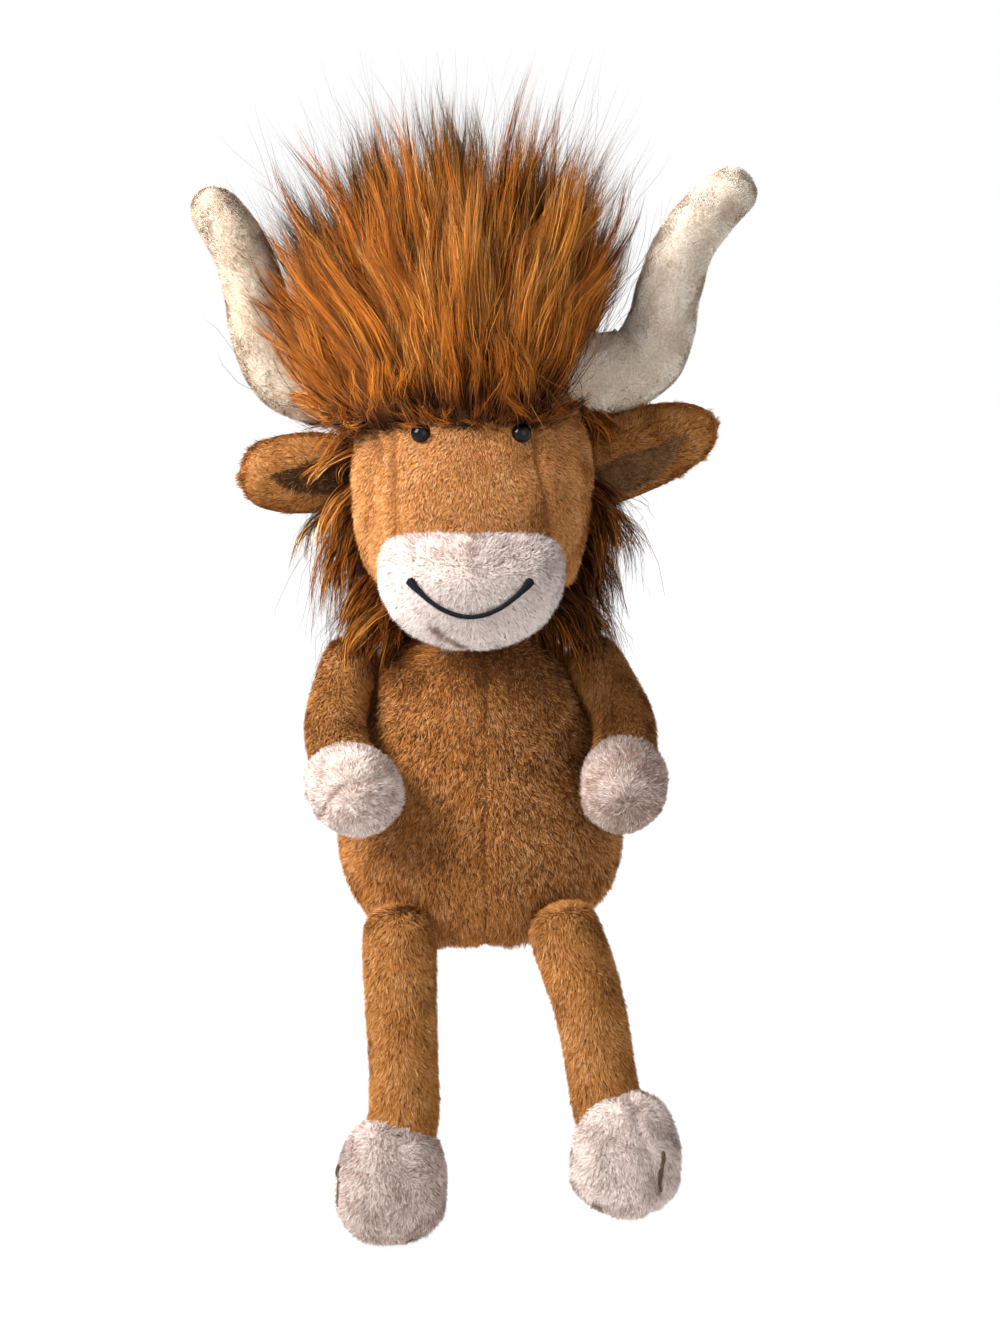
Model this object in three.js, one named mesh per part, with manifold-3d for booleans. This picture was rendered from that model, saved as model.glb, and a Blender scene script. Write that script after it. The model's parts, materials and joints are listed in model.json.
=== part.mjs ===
// A sitting plush cow with long upswept hair, velour horns, cupped ears and pale hooves.
// Millimetres, +Z up. The cow looks along -Y, and its own left side is +X.
// The origin is the middle of the flat base panel that it sits on, so its legs hang below zero.
import * as THREE from "three";
import { mergeVertices } from "three/addons/utils/BufferGeometryUtils.js";
import Module from "manifold-3d";

const wasm = await Module();
wasm.setup();

// Cloth and clearances
const coverThickness = 2.4; // woven backing with its pile pressed flat
const velourThickness = 1.6; // the horns' shorter cloth
const seamGap = 0.35; // between two edges that are sewn together
const fitGap = 0.35; // between a cover and its stuffing
const swingGap = 0.6; // round a limb's root, which turns in its dimple
const overrun = 5; // how far a cutter passes the piece that it cuts
const reach = 400; // half the length of a cutting block, past every piece

// Body: a pear that is flat below and drawn in at the neck
const body = { halfWidth: 45, halfDepth: 39, height: 103.5, seamOffset: 4, sideSeam: 2 };
const bodyShares = [
  [0, 0.62],
  [0.05, 0.79],
  [0.13, 0.92],
  [0.26, 1],
  [0.42, 0.97],
  [0.57, 0.9],
  [0.72, 0.82],
  [0.86, 0.74],
  [0.95, 0.6],
  [1, 0.4],
];
const pouch = { halfWidth: 27, halfDepth: 23, height: 26, seatShare: 0.5 };
const pouchShares = [
  [0, 0.8],
  [0.3, 1],
  [0.7, 0.85],
  [1, 0],
];

// Head: a rounded box, taller than it is wide, on the neck
const neckGap = 0.4;
const head = { halfWidth: 40, halfDepth: 36, height: 91, forward: 3, squareness: 2.25 };
const headShares = [
  [0, 0.42],
  [0.05, 0.6],
  [0.16, 0.82],
  [0.32, 0.96],
  [0.5, 1],
  [0.68, 0.95],
  [0.84, 0.78],
  [0.95, 0.48],
  [1, 0],
];
const facePanel = { halfWidth: 25, lowShare: 0.24, sideSeam: 4 };

// Muzzle: the blunt front of the face, in paler plush
const muzzle = { halfWidth: 29.5, halfHeight: 24.6, length: 54, droop: 5 };
const muzzleSquareness = { above: 3, below: 2.2 };
const muzzlePlace = { backShare: 0.36, heightShare: 0.3, aboveShare: 0.43 };
const muzzleShares = [
  [0, 0.86],
  [0.3, 0.97],
  [0.52, 1],
  [0.72, 0.93],
  [0.88, 0.74],
  [0.97, 0.42],
  [1, 0],
];
const smile = { halfWidth: 17.8, sag: 10.5, lift: 3.2, threadRadius: 0.9, corners: 11 };

// Eyes: a bead on a shank that passes the face panel into a washer
const eye = {
  radius: 3,
  dome: 2.4,
  shankRadius: 1.1,
  shankLength: 6.4,
  spreadShare: 0.38,
  heightShare: 0.714,
};
const washer = { radius: 4.4, thickness: 1.3, depth: 4.2 };

// Horns: out of the head sideways, round an elbow, up, and out again at the tip
const horn = { rootRadius: 14, rootOutShare: 0.525, rootUpShare: 0.923, rootBack: 2 };
const hornGirthShares = [
  [0, 1],
  [0.2, 0.98],
  [0.34, 0.9],
  [0.5, 0.78],
  [0.68, 0.72],
  [0.84, 0.66],
  [0.94, 0.57],
  [0.985, 0.34],
  [1, 0],
];
const hornSides = {
  left: {
    span: 68,
    rise: 59,
    pathShares: [
      [0, 0],
      [0.3, -0.05],
      [0.49, 0.02],
      [0.58, 0.21],
      [0.62, 0.42],
      [0.7, 0.67],
      [0.85, 0.87],
      [1, 1],
    ],
  },
  right: {
    span: 65,
    rise: 55,
    pathShares: [
      [0, -0.04],
      [0.34, -0.12],
      [0.58, -0.07],
      [0.7, 0.15],
      [0.75, 0.42],
      [0.81, 0.66],
      [0.91, 0.85],
      [1, 1],
    ],
  },
};

// Ears: a cupped leaf, open to the front and lined with shorter plush
const ear = { length: 35, halfHeight: 11.5, halfDepth: 6.4, rootRadius: 7.5, back: 2, cupShift: 5.2 };
const earRoot = { outShare: 1.075, heightShare: 0.545 };
const liningThickness = 1.5;
const earShares = [
  [0, 0.6],
  [0.2, 0.9],
  [0.48, 1],
  [0.72, 0.86],
  [0.9, 0.56],
  [1, 0],
];
const earSides = { left: { rise: 13, forward: 5 }, right: { rise: 0, forward: 5 } };

// Hair: a fan of long locks over the forehead, and a mane behind the head
const hair = { halfWidth: 41, halfDepth: 39, height: 66, bottomShare: 0.78, lockLength: 31, lockRadius: 11 };
const hairShares = [
  [0, 0.9],
  [0.12, 0.92],
  [0.38, 0.98],
  [0.62, 1],
  [0.82, 0.82],
  [0.95, 0.45],
  [1, 0],
];
const lockRows = [-0.5, 0, 0.5]; // places across the fan, as shares of its half depth
const locksInRow = 6;
const lockFan = 68; // degrees to each side of upright
const lockShares = [
  [0, 1],
  [0.55, 0.85],
  [1, 0],
];
const mane = { halfWidth: 54, halfDepth: 36, halfHeight: 44, back: 12, heightShare: 0.27, frontEdge: 6 };
const earRoom = { front: 13, low: 15, high: 19 };

// Arms: hanging from the shoulders, with the hands resting against the belly
const arm = { rootRadius: 10.8, halfBreadth: 10.6, halfDepth: 10.4, drop: 31 };
const shoulder = { outShare: 0.9, forwardShare: 0.18, heightShare: 0.865 };
const hand = { halfLength: 17, halfBreadth: 14.5, halfDepth: 14 };
const armShares = [
  [0, 0.95],
  [0.35, 0.93],
  [0.7, 0.98],
  [1, 0.95],
];
// places along each arm, as shares of its drop from the shoulder: outward, forward, down
const armPlaceShares = {
  left: { elbow: [0.36, 0.28, 0.46], hand: [0.24, 0.94, 1], point: [-0.1, 0.9, 0.4] },
  right: { elbow: [0.16, 0.48, 0.5], hand: [-0.1, 1.13, 1], point: [-0.66, 0.72, 0.22] },
};

// Legs: hanging over the front edge of the seat
const leg = { rootRadius: 11.8, halfBreadth: 12, halfDepth: 11.6, drop: 55, forward: 12 };
const hip = { outShare: 0.6, forwardShare: 0.98, heightShare: 0.075 };
const foot = { halfWidth: 16, halfLength: 17.6, halfHeight: 20, soleShare: 0.76 };
const legShares = [
  [0, 0.98],
  [0.3, 1],
  [0.65, 0.93],
  [1, 0.98],
];
// lean is outward at the ankle; footOut, footDown and turn place the foot under it
const legSides = {
  left: { hipShare: 1.13, forwardShare: 0.94, lean: 13.5, footOut: 5, footDown: 10, turn: 40 },
  right: { hipShare: 0.87, forwardShare: 1, lean: -1.5, footOut: 4, footDown: 18, turn: 78 },
};
const kneeShares = { along: 0.36, lean: 0.5, forward: 0.6 };
const cleft = { threadRadius: 0.7, lowShare: -0.48, highShare: 0.24, corners: 6 };

// Tail: a thin sewn cord of plush with a tuft, lying on the seat
const tail = { radius: 4, rootRadius: 4.6, rootHeight: 25, back: 23, sideways: 8, lie: 5.2 };
const tailShares = [
  [0, 1],
  [0.5, 0.95],
  [1, 0.85],
];
// corners of the tail's path, as shares of how far it goes sideways, back and down
const tailPathShares = [
  [0, 0, 0],
  [0, 0.5, 0.3],
  [0.25, 0.85, 0.8],
  [1, 1, 1],
];
const tailTuft = { length: 30, radius: 6.5 };
const tuftShares = [
  [0, 0.5],
  [0.2, 0.9],
  [0.5, 1],
  [0.8, 0.62],
  [1, 0],
];

// How finely the forms are faceted
const facets = {
  body: { sides: 16, rings: 8 },
  head: { sides: 16, rings: 7 },
  muzzle: { sides: 14, rings: 6 },
  horn: { sides: 9, rings: 11 },
  ear: { sides: 10, rings: 5 },
  limb: { sides: 8, rings: 4 },
  hoof: { sides: 10, rings: 5 },
  hair: { sides: 14, rings: 6 },
  lock: { sides: 5 },
  tail: { sides: 7, rings: 5 },
  eye: { sides: 10, rings: 4 },
  thread: { sides: 4 },
  ball: { around: 8, up: 5 },
  dimple: { around: 14, up: 8 },
};

// Materials, one for each cloth or plastic
const plush = (color, roughness) => new THREE.MeshStandardMaterial({ color, roughness, metalness: 0 });
const brownPlush = plush("#8f6136", 0.95);
const facePlush = plush("#bd8450", 0.93);
const hoofPlush = plush("#cdb5aa", 0.94);
const hornVelour = plush("#e2d2bd", 0.9);
const liningPlush = plush("#6e5034", 0.96);
const hairPile = plush("#a8621f", 0.7);
const stuffing = plush("#f2f0ea", 1);
const pouchCloth = plush("#d8d2c4", 0.9);
const threadBlack = plush("#1c2024", 0.7);
const eyeGloss = new THREE.MeshStandardMaterial({ color: "#0b0c0e", roughness: 0.08, metalness: 0 });
const washerPlastic = new THREE.MeshStandardMaterial({ color: "#f4f4f0", roughness: 0.45, metalness: 0 });

const cow = new THREE.Group();

// Solids from geometries and back
function merged(geometry) {
  const bare = geometry.clone();
  bare.deleteAttribute("normal");
  bare.deleteAttribute("uv");
  return mergeVertices(bare);
}

function solid(geometry) {
  const closed = merged(geometry);
  return new wasm.Manifold(
    new wasm.Mesh({
      numProp: 3,
      vertProperties: new Float32Array(closed.attributes.position.array),
      triVerts: new Uint32Array(closed.index.array),
    }),
  );
}

function addPiece(name, made, material) {
  const { vertProperties, triVerts } = made.getMesh();
  const geometry = new THREE.BufferGeometry();
  geometry.setAttribute("position", new THREE.BufferAttribute(vertProperties, 3));
  geometry.setIndex(new THREE.BufferAttribute(triVerts, 1));
  const piece = new THREE.Mesh(geometry, material);
  piece.name = name;
  cow.add(piece);
}

// The same form with its skin moved out, or in where the distance is negative
function grown(geometry, distance) {
  const skin = merged(geometry);
  skin.computeVertexNormals();
  const { position, normal } = skin.attributes;
  for (let i = 0; i < position.count; i++) {
    position.setXYZ(
      i,
      position.getX(i) + normal.getX(i) * distance,
      position.getY(i) + normal.getY(i) * distance,
      position.getZ(i) + normal.getZ(i) * distance,
    );
  }
  return skin;
}

// Stations along a spine: a hand-set table made smooth, or the stations of a rounded lump
function smoothStations(table, rings) {
  const outline = new THREE.SplineCurve(table.map(([along, girth]) => new THREE.Vector2(along, girth)));
  return Array.from({ length: rings + 1 }, (_, i) => {
    const { x, y } = outline.getPoint(i / rings);
    return [THREE.MathUtils.clamp(x, 0, 1), Math.max(y, 0)];
  });
}

function roundStations(rings, squareness = 2) {
  return Array.from({ length: rings + 1 }, (_, i) => {
    const turn = (Math.PI * i) / rings;
    return [(1 - Math.cos(turn)) / 2, Math.max(Math.sin(turn), 0) ** (2 / squareness)];
  });
}

// A closed form that swells and tapers along its spine. It closes at a point where the girth is zero.
// The half of each ring that is turned down may be squarer or rounder, and the upper half lower.
function sweptForm({
  spine,
  stations,
  halfBreadth,
  halfDepth,
  across,
  sides,
  squareness = 2,
  lowSquareness = squareness,
  aboveShare = 1,
}) {
  const points = [];
  const triangles = [];
  const rounded = (value, power) => Math.sign(value) * Math.abs(value) ** (2 / power);
  const rings = stations.map(([along, girth]) => {
    const centre = spine.getPointAt(along);
    const forward = spine.getTangentAt(along);
    const first = across.clone().addScaledVector(forward, -across.dot(forward)).normalize();
    const second = forward.clone().cross(first);
    const start = points.length;
    if (girth === 0) {
      points.push(centre);
      return { start, count: 1 };
    }
    for (let k = 0; k < sides; k++) {
      const turn = (2 * Math.PI * k) / sides;
      const below = Math.sin(turn) < 0;
      const power = below ? lowSquareness : squareness;
      const reach = girth * (below ? 1 : aboveShare);
      points.push(
        centre
          .clone()
          .addScaledVector(first, halfBreadth * girth * rounded(Math.cos(turn), power))
          .addScaledVector(second, halfDepth * reach * rounded(Math.sin(turn), power)),
      );
    }
    return { start, count: sides };
  });
  for (let i = 0; i < rings.length - 1; i++) {
    const [low, high] = [rings[i], rings[i + 1]];
    for (let k = 0; k < sides; k++) {
      const next = (k + 1) % sides;
      if (low.count > 1) triangles.push(low.start + k, low.start + next, high.start + (next % high.count));
      if (high.count > 1) triangles.push(low.start + (k % low.count), high.start + next, high.start + k);
    }
  }
  for (const [ring, along, ahead] of [
    [rings[0], 0, false],
    [rings[rings.length - 1], 1, true],
  ]) {
    if (ring.count === 1) continue;
    const middle = points.push(spine.getPointAt(along)) - 1;
    for (let k = 0; k < sides; k++) {
      const next = (k + 1) % sides;
      triangles.push(middle, ring.start + (ahead ? k : next), ring.start + (ahead ? next : k));
    }
  }
  const geometry = new THREE.BufferGeometry().setFromPoints(points);
  geometry.setIndex(triangles);
  return geometry;
}

const at = (x, y, z) => new THREE.Vector3(x, y, z);
const straight = (from, to) => new THREE.LineCurve3(from, to);
const curved = (points) => new THREE.CatmullRomCurve3(points, false, "centripetal");
const sideAxis = at(1, 0, 0);
const depthAxis = at(0, 1, 0);
const towardsFront = at(0, -1, 0);

function ball(centre, radius, { around, up } = facets.ball) {
  const sphere = new THREE.SphereGeometry(radius, around, up);
  return solid(sphere.translate(centre.x, centre.y, centre.z));
}

// A cutting block; a side that isn't given passes every piece
function block({ left = -reach, right = reach, front = -reach, back = reach, low = -reach, high = reach }) {
  const box = new THREE.BoxGeometry(right - left, back - front, high - low);
  return solid(box.translate((left + right) / 2, (front + back) / 2, (low + high) / 2));
}

// A round bar between two points
function bar(from, to, radius, sides) {
  const rod = new THREE.CylinderGeometry(radius, radius, from.distanceTo(to), sides);
  rod.applyQuaternion(new THREE.Quaternion().setFromUnitVectors(depthAxis, to.clone().sub(from).normalize()));
  const middle = from.clone().add(to).divideScalar(2);
  return solid(rod.translate(middle.x, middle.y, middle.z));
}

// Where a line towards a form meets its skin, with the way that the skin faces there
function skinPoint(geometry, target, fromSide) {
  const mesh = new THREE.Mesh(geometry, new THREE.MeshBasicMaterial());
  const start = target.clone().addScaledVector(fromSide, reach);
  const [hit] = new THREE.Raycaster(start, fromSide.clone().negate()).intersectObject(mesh);
  return { point: hit.point, facing: hit.face.normal.clone() };
}

// A sewn thread that follows points laid over a form
function thread(points, radius) {
  const outline = new THREE.Shape();
  for (let k = 0; k < facets.thread.sides; k++) {
    const turn = (2 * Math.PI * k) / facets.thread.sides;
    outline[k ? "lineTo" : "moveTo"](radius * Math.cos(turn), radius * Math.sin(turn));
  }
  outline.closePath();
  const path = new THREE.CatmullRomCurve3(points);
  return solid(new THREE.ExtrudeGeometry(outline, { steps: points.length - 1, extrudePath: path }));
}

// Main forms, before they are cut to each other
const bodyForm = sweptForm({
  spine: straight(at(0, 0, 0), at(0, 0, body.height)),
  stations: smoothStations(bodyShares, facets.body.rings),
  halfBreadth: body.halfWidth,
  halfDepth: body.halfDepth,
  across: sideAxis,
  sides: facets.body.sides,
});
const headBottom = body.height + neckGap;
const headTop = headBottom + head.height;
const headLevel = (share) => headBottom + head.height * share;
const headForm = sweptForm({
  spine: straight(at(0, -head.forward, headBottom), at(0, -head.forward, headTop)),
  stations: smoothStations(headShares, facets.head.rings),
  halfBreadth: head.halfWidth,
  halfDepth: head.halfDepth,
  across: sideAxis,
  sides: facets.head.sides,
  squareness: head.squareness,
});
const muzzleBack = -head.halfDepth * muzzlePlace.backShare;
const muzzleLevel = headLevel(muzzlePlace.heightShare);
const muzzleForm = sweptForm({
  spine: straight(
    at(0, muzzleBack, muzzleLevel),
    at(0, muzzleBack - muzzle.length, muzzleLevel - muzzle.droop),
  ),
  stations: smoothStations(muzzleShares, facets.muzzle.rings),
  halfBreadth: muzzle.halfWidth,
  halfDepth: muzzle.halfHeight,
  across: sideAxis,
  sides: facets.muzzle.sides,
  squareness: muzzleSquareness.above,
  lowSquareness: muzzleSquareness.below,
  aboveShare: muzzlePlace.aboveShare,
});

// Sides of the cow: +X is its own left
const sideSigns = { left: 1, right: -1 };
const sides = Object.entries(sideSigns).map(([name, sign]) => {
  const shoulderAt = at(
    sign * body.halfWidth * shoulder.outShare,
    -body.halfDepth * shoulder.forwardShare,
    body.height * shoulder.heightShare,
  );
  const hipAt = at(
    sign * body.halfWidth * hip.outShare * legSides[name].hipShare,
    -body.halfDepth * hip.forwardShare * legSides[name].forwardShare,
    body.height * hip.heightShare,
  );
  const earAt = at(sign * head.halfWidth * earRoot.outShare, ear.back, headLevel(earRoot.heightShare));
  return { name, sign, shoulderAt, hipAt, earAt };
});
const tailAt = at(0, body.halfDepth + tail.rootRadius / 2, tail.rootHeight);
const dimple = (centre, radius) => ball(centre, radius + swingGap, facets.dimple);

// Torso: two front panels, two back panels and a base round the stuffing and a bean pouch
function makeTorso() {
  const dimples = [dimple(tailAt, tail.rootRadius)];
  for (const side of sides) {
    dimples.push(dimple(side.shoulderAt, arm.rootRadius), dimple(side.hipAt, leg.rootRadius));
  }
  const dimpled = (made) => dimples.reduce((rest, hollow) => rest.subtract(hollow), made);
  const outer = solid(bodyForm);
  const shell = dimpled(outer.subtract(solid(grown(bodyForm, -coverThickness))));
  const wall = shell.intersect(block({ low: coverThickness + seamGap }));
  const half = seamGap / 2;
  const front = { back: body.sideSeam - half };
  const rear = { front: body.sideSeam + half };
  const seam = body.seamOffset;
  addPiece("front_left_panel", wall.intersect(block({ left: seam + half, ...front })), brownPlush);
  addPiece("front_right_panel", wall.intersect(block({ right: seam - half, ...front })), brownPlush);
  addPiece("back_left_panel", wall.intersect(block({ left: half, ...rear })), brownPlush);
  addPiece("back_right_panel", wall.intersect(block({ right: -half, ...rear })), brownPlush);
  addPiece("base_panel", outer.intersect(block({ high: coverThickness })), brownPlush);

  const floor = coverThickness + fitGap;
  const pouchForm = sweptForm({
    spine: straight(at(0, 0, floor), at(0, 0, floor + pouch.height)),
    stations: smoothStations(pouchShares, facets.hoof.rings),
    halfBreadth: pouch.halfWidth,
    halfDepth: pouch.halfDepth,
    across: sideAxis,
    sides: facets.hoof.sides,
  });
  const pouchSeat = pouch.halfDepth * pouch.seatShare;
  const filling = dimpled(solid(grown(bodyForm, -coverThickness - fitGap)))
    .intersect(block({ low: floor }))
    .subtract(solid(grown(pouchForm, fitGap)))
    .subtract(bar(at(0, 0, floor - overrun), at(0, 0, floor + overrun), pouchSeat, facets.hoof.sides));
  addPiece("bean_pouch", solid(pouchForm), pouchCloth);
  addPiece("body_stuffing", filling, stuffing);
}

// Head: forehead, two cheeks, back and muzzle round one stuffing, with beads and an embroidered smile
function eyeAxis(sign) {
  const behind = at(sign * head.halfWidth * eye.spreadShare, 0, headLevel(eye.heightShare));
  const { point, facing } = skinPoint(headForm, behind, towardsFront);
  const level = (along) => point.clone().addScaledVector(facing, along);
  return { facing, level };
}

function makeEye(side) {
  const { facing, level } = eyeAxis(side.sign);
  const washerTop = -washer.depth;
  const profile = [
    new THREE.Vector2(0, -eye.shankLength),
    new THREE.Vector2(eye.shankRadius, -eye.shankLength),
    new THREE.Vector2(eye.shankRadius, 0),
  ];
  for (let k = 0; k <= facets.eye.rings; k++) {
    const turn = (Math.PI / 2) * (k / facets.eye.rings);
    const closing = k === facets.eye.rings ? 0 : eye.radius * Math.cos(turn);
    profile.push(new THREE.Vector2(closing, eye.dome * Math.sin(turn)));
  }
  const bead = new THREE.LatheGeometry(profile, facets.eye.sides);
  bead.applyQuaternion(new THREE.Quaternion().setFromUnitVectors(depthAxis, facing));
  const seat = level(seamGap);
  addPiece(`${side.name}_eye`, solid(bead.translate(seat.x, seat.y, seat.z)), eyeGloss);

  const around = facets.eye.sides;
  const shankEnd = level(-eye.shankLength - overrun);
  const shankHole = bar(level(overrun), shankEnd, eye.shankRadius + fitGap, around);
  const disc = bar(level(washerTop), level(washerTop - washer.thickness), washer.radius, around);
  addPiece(`${side.name}_eye_washer`, disc.subtract(shankHole), washerPlastic);
  const washerRoom = bar(
    level(overrun),
    level(washerTop - washer.thickness - fitGap),
    washer.radius + fitGap,
    around,
  );
  return { shankHole, washerRoom };
}

function makeSmile() {
  const points = Array.from({ length: smile.corners }, (_, i) => {
    const share = (2 * i) / (smile.corners - 1) - 1;
    const drop = smile.sag * (1 - share * share) - smile.lift;
    const target = at(share * smile.halfWidth, 0, muzzleLevel - muzzle.droop - drop);
    const { point, facing } = skinPoint(muzzleForm, target, towardsFront);
    return point.addScaledVector(facing, smile.threadRadius + seamGap);
  });
  addPiece("mouth_stitching", thread(points, smile.threadRadius), threadBlack);
}

function makeHead() {
  const holes = sides.map(makeEye);
  const earDimples = sides.map((side) => dimple(side.earAt, ear.rootRadius));
  const dimpled = (made) => earDimples.reduce((rest, hollow) => rest.subtract(hollow), made);
  const muzzleOuter = solid(muzzleForm);
  const aboveNeck = block({ low: headBottom });
  const shell = dimpled(solid(headForm).subtract(solid(grown(headForm, -coverThickness)))).subtract(
    solid(grown(muzzleForm, seamGap)),
  );
  const half = seamGap / 2;
  const seam = facePanel.sideSeam;
  const chin = headLevel(facePanel.lowShare);
  const centreRoom = { left: -facePanel.halfWidth, right: facePanel.halfWidth, low: chin };
  const forehead = shell.intersect(block({ ...centreRoom, back: seam - half }));
  const bored = holes.reduce((rest, { shankHole }) => rest.subtract(shankHole), forehead);
  addPiece("forehead_panel", bored, facePlush);
  const centreCut = block({
    left: -facePanel.halfWidth - seamGap,
    right: facePanel.halfWidth + seamGap,
    low: chin - seamGap,
  });
  const cheeks = shell.subtract(centreCut);
  addPiece("left_cheek_panel", cheeks.intersect(block({ left: half, back: seam - half })), facePlush);
  addPiece("right_cheek_panel", cheeks.intersect(block({ right: -half, back: seam - half })), facePlush);
  addPiece("head_back_panel", shell.intersect(block({ front: seam + half })), brownPlush);
  const muzzleShell = muzzleOuter
    .subtract(solid(grown(muzzleForm, -coverThickness)))
    .subtract(solid(grown(headForm, seamGap)))
    .intersect(aboveNeck);
  addPiece("muzzle_cover", muzzleShell, hoofPlush);
  const filling = solid(grown(headForm, -coverThickness - fitGap)).add(
    solid(grown(muzzleForm, -coverThickness - fitGap)),
  );
  const cleared = holes.reduce(
    (rest, hole) => rest.subtract(hole.washerRoom).subtract(hole.shankHole),
    filling,
  );
  addPiece("head_stuffing", dimpled(cleared), stuffing);
  makeSmile();
}

// Horns: a swept velour tube over its own stuffing, open where it is sewn to the head
function hornForm(side) {
  const { span, rise, pathShares } = hornSides[side.name];
  const rootOut = head.halfWidth * horn.rootOutShare;
  const points = pathShares.map(([out, up]) =>
    at(side.sign * (rootOut + span * out), horn.rootBack, headLevel(horn.rootUpShare) + rise * up),
  );
  return sweptForm({
    spine: curved(points),
    stations: smoothStations(hornGirthShares, facets.horn.rings),
    halfBreadth: horn.rootRadius,
    halfDepth: horn.rootRadius,
    across: depthAxis,
    sides: facets.horn.sides,
  });
}

function makeHorn(side) {
  const form = hornForm(side);
  const clearOfHead = solid(grown(headForm, seamGap));
  const cover = solid(form).subtract(solid(grown(form, -velourThickness))).subtract(clearOfHead);
  addPiece(`${side.name}_horn_cover`, cover, hornVelour);
  addPiece(
    `${side.name}_horn_stuffing`,
    solid(grown(form, -velourThickness - fitGap)).subtract(clearOfHead),
    stuffing,
  );
}

// Ears: the cup is the leaf less the same leaf drawn in and moved forward; the lining lies in it
function makeEar(side) {
  const { rise, forward } = earSides[side.name];
  const tip = side.earAt.clone().add(at(side.sign * ear.length, -forward, rise));
  const form = sweptForm({
    spine: straight(side.earAt, tip),
    stations: smoothStations(earShares, facets.ear.rings),
    halfBreadth: ear.halfHeight,
    halfDepth: ear.halfDepth,
    across: at(0, 0, 1),
    sides: facets.ear.sides,
  });
  const cupForm = grown(form, -coverThickness).translate(0, -ear.cupShift, 0);
  const liningForm = grown(form, -coverThickness - fitGap).translate(0, -ear.cupShift, 0);
  const liningFront = liningForm.clone().translate(0, -liningThickness, 0);
  const root = ball(side.earAt, ear.rootRadius);
  addPiece(`${side.name}_ear`, solid(form).subtract(solid(cupForm)).add(root), brownPlush);
  const edge = side.earAt.x + side.sign * ear.rootRadius;
  const pastRoot = block(side.sign > 0 ? { left: edge } : { right: edge });
  const lining = solid(liningForm).subtract(solid(liningFront)).intersect(pastRoot);
  addPiece(`${side.name}_ear_lining`, lining, liningPlush);
}

// Hair: a core with rows of pointed locks that fan out from the forehead
function makeHair() {
  const base = headLevel(hair.bottomShare);
  const middle = at(0, -head.forward, base);
  const core = sweptForm({
    spine: straight(middle, at(0, -head.forward, base + hair.height)),
    stations: smoothStations(hairShares, facets.hair.rings),
    halfBreadth: hair.halfWidth,
    halfDepth: hair.halfDepth,
    across: sideAxis,
    sides: facets.hair.sides,
  });
  let tuft = solid(core);
  lockRows.forEach((row, rowNumber) => {
    for (let k = 0; k < locksInRow; k++) {
      const share = (2 * (k + (rowNumber % 2) / 2)) / (locksInRow - 1 / 2) - 1;
      const lean = THREE.MathUtils.degToRad(lockFan * share);
      const way = at(Math.sin(lean), row / 2, Math.cos(lean)).normalize();
      const rootOut = at(hair.halfWidth * Math.sin(lean), hair.halfDepth * row, hair.height * Math.cos(lean));
      const depthLeft = Math.sqrt(1 - row * row);
      const root = middle.clone().add(at(rootOut.x * depthLeft, rootOut.y, rootOut.z * depthLeft));
      root.addScaledVector(way, -hair.lockLength);
      const lock = sweptForm({
        spine: straight(root, root.clone().addScaledVector(way, 2 * hair.lockLength)),
        stations: lockShares,
        halfBreadth: hair.lockRadius,
        halfDepth: hair.lockRadius,
        across: depthAxis,
        sides: facets.lock.sides,
      });
      tuft = tuft.add(solid(lock));
    }
  });
  const clearOfHead = solid(grown(headForm, seamGap));
  const horns = sides.map((side) => solid(grown(hornForm(side), seamGap)));
  const forehead = block({ low: base });
  const cleared = horns.reduce((rest, made) => rest.subtract(made), tuft.subtract(clearOfHead));
  addPiece("hair_tuft", cleared.intersect(forehead), hairPile);
}

// Mane: a lump behind the head, with room for the ears and the shoulders
function makeMane() {
  const middle = headLevel(mane.heightShare);
  const form = sweptForm({
    spine: straight(at(0, mane.back, middle - mane.halfHeight), at(0, mane.back, middle + mane.halfHeight)),
    stations: roundStations(facets.hair.rings, head.squareness),
    halfBreadth: mane.halfWidth,
    halfDepth: mane.halfDepth,
    across: sideAxis,
    sides: facets.hair.sides,
    squareness: head.squareness,
  });
  const earLevel = headLevel(earRoot.heightShare);
  const made = solid(form)
    .subtract(solid(grown(headForm, seamGap)))
    .intersect(block({ low: headBottom, high: headLevel(hair.bottomShare) - seamGap }))
    .intersect(block({ front: -mane.frontEdge }))
    .subtract(block({ back: earRoom.front, low: earLevel - earRoom.low, high: earLevel + earRoom.high }))
    .subtract(block({ back: earRoom.front, low: earLevel }));
  addPiece("neck_mane", made, hairPile);
}

// Limbs: a cover with a round root, an end in paler plush, and one stuffing through both
function makeLimb({ name, endName, root, rootRadius, form, endForm, soleLevel }) {
  const inside = (distance) => solid(grown(form, distance)).add(ball(root, rootRadius + distance));
  const outer = solid(form).add(ball(root, rootRadius));
  const endOuter = solid(endForm);
  const endInner = solid(grown(endForm, -coverThickness));
  const cover = outer.subtract(inside(-coverThickness)).subtract(solid(grown(endForm, seamGap)));
  addPiece(name, cover, brownPlush);
  const endCover = endOuter.subtract(endInner).subtract(solid(grown(form, -coverThickness)));
  if (soleLevel === undefined) {
    addPiece(endName, endCover, hoofPlush);
  } else {
    addPiece(endName, endCover.intersect(block({ low: soleLevel + seamGap })), hoofPlush);
    addPiece(endName.replace("hoof", "sole"), endCover.intersect(block({ high: soleLevel })), hoofPlush);
  }
  const filling = inside(-coverThickness - fitGap).add(solid(grown(endForm, -coverThickness - fitGap)));
  addPiece(`${name.replace("_cover", "")}_stuffing`, filling, stuffing);
}

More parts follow.
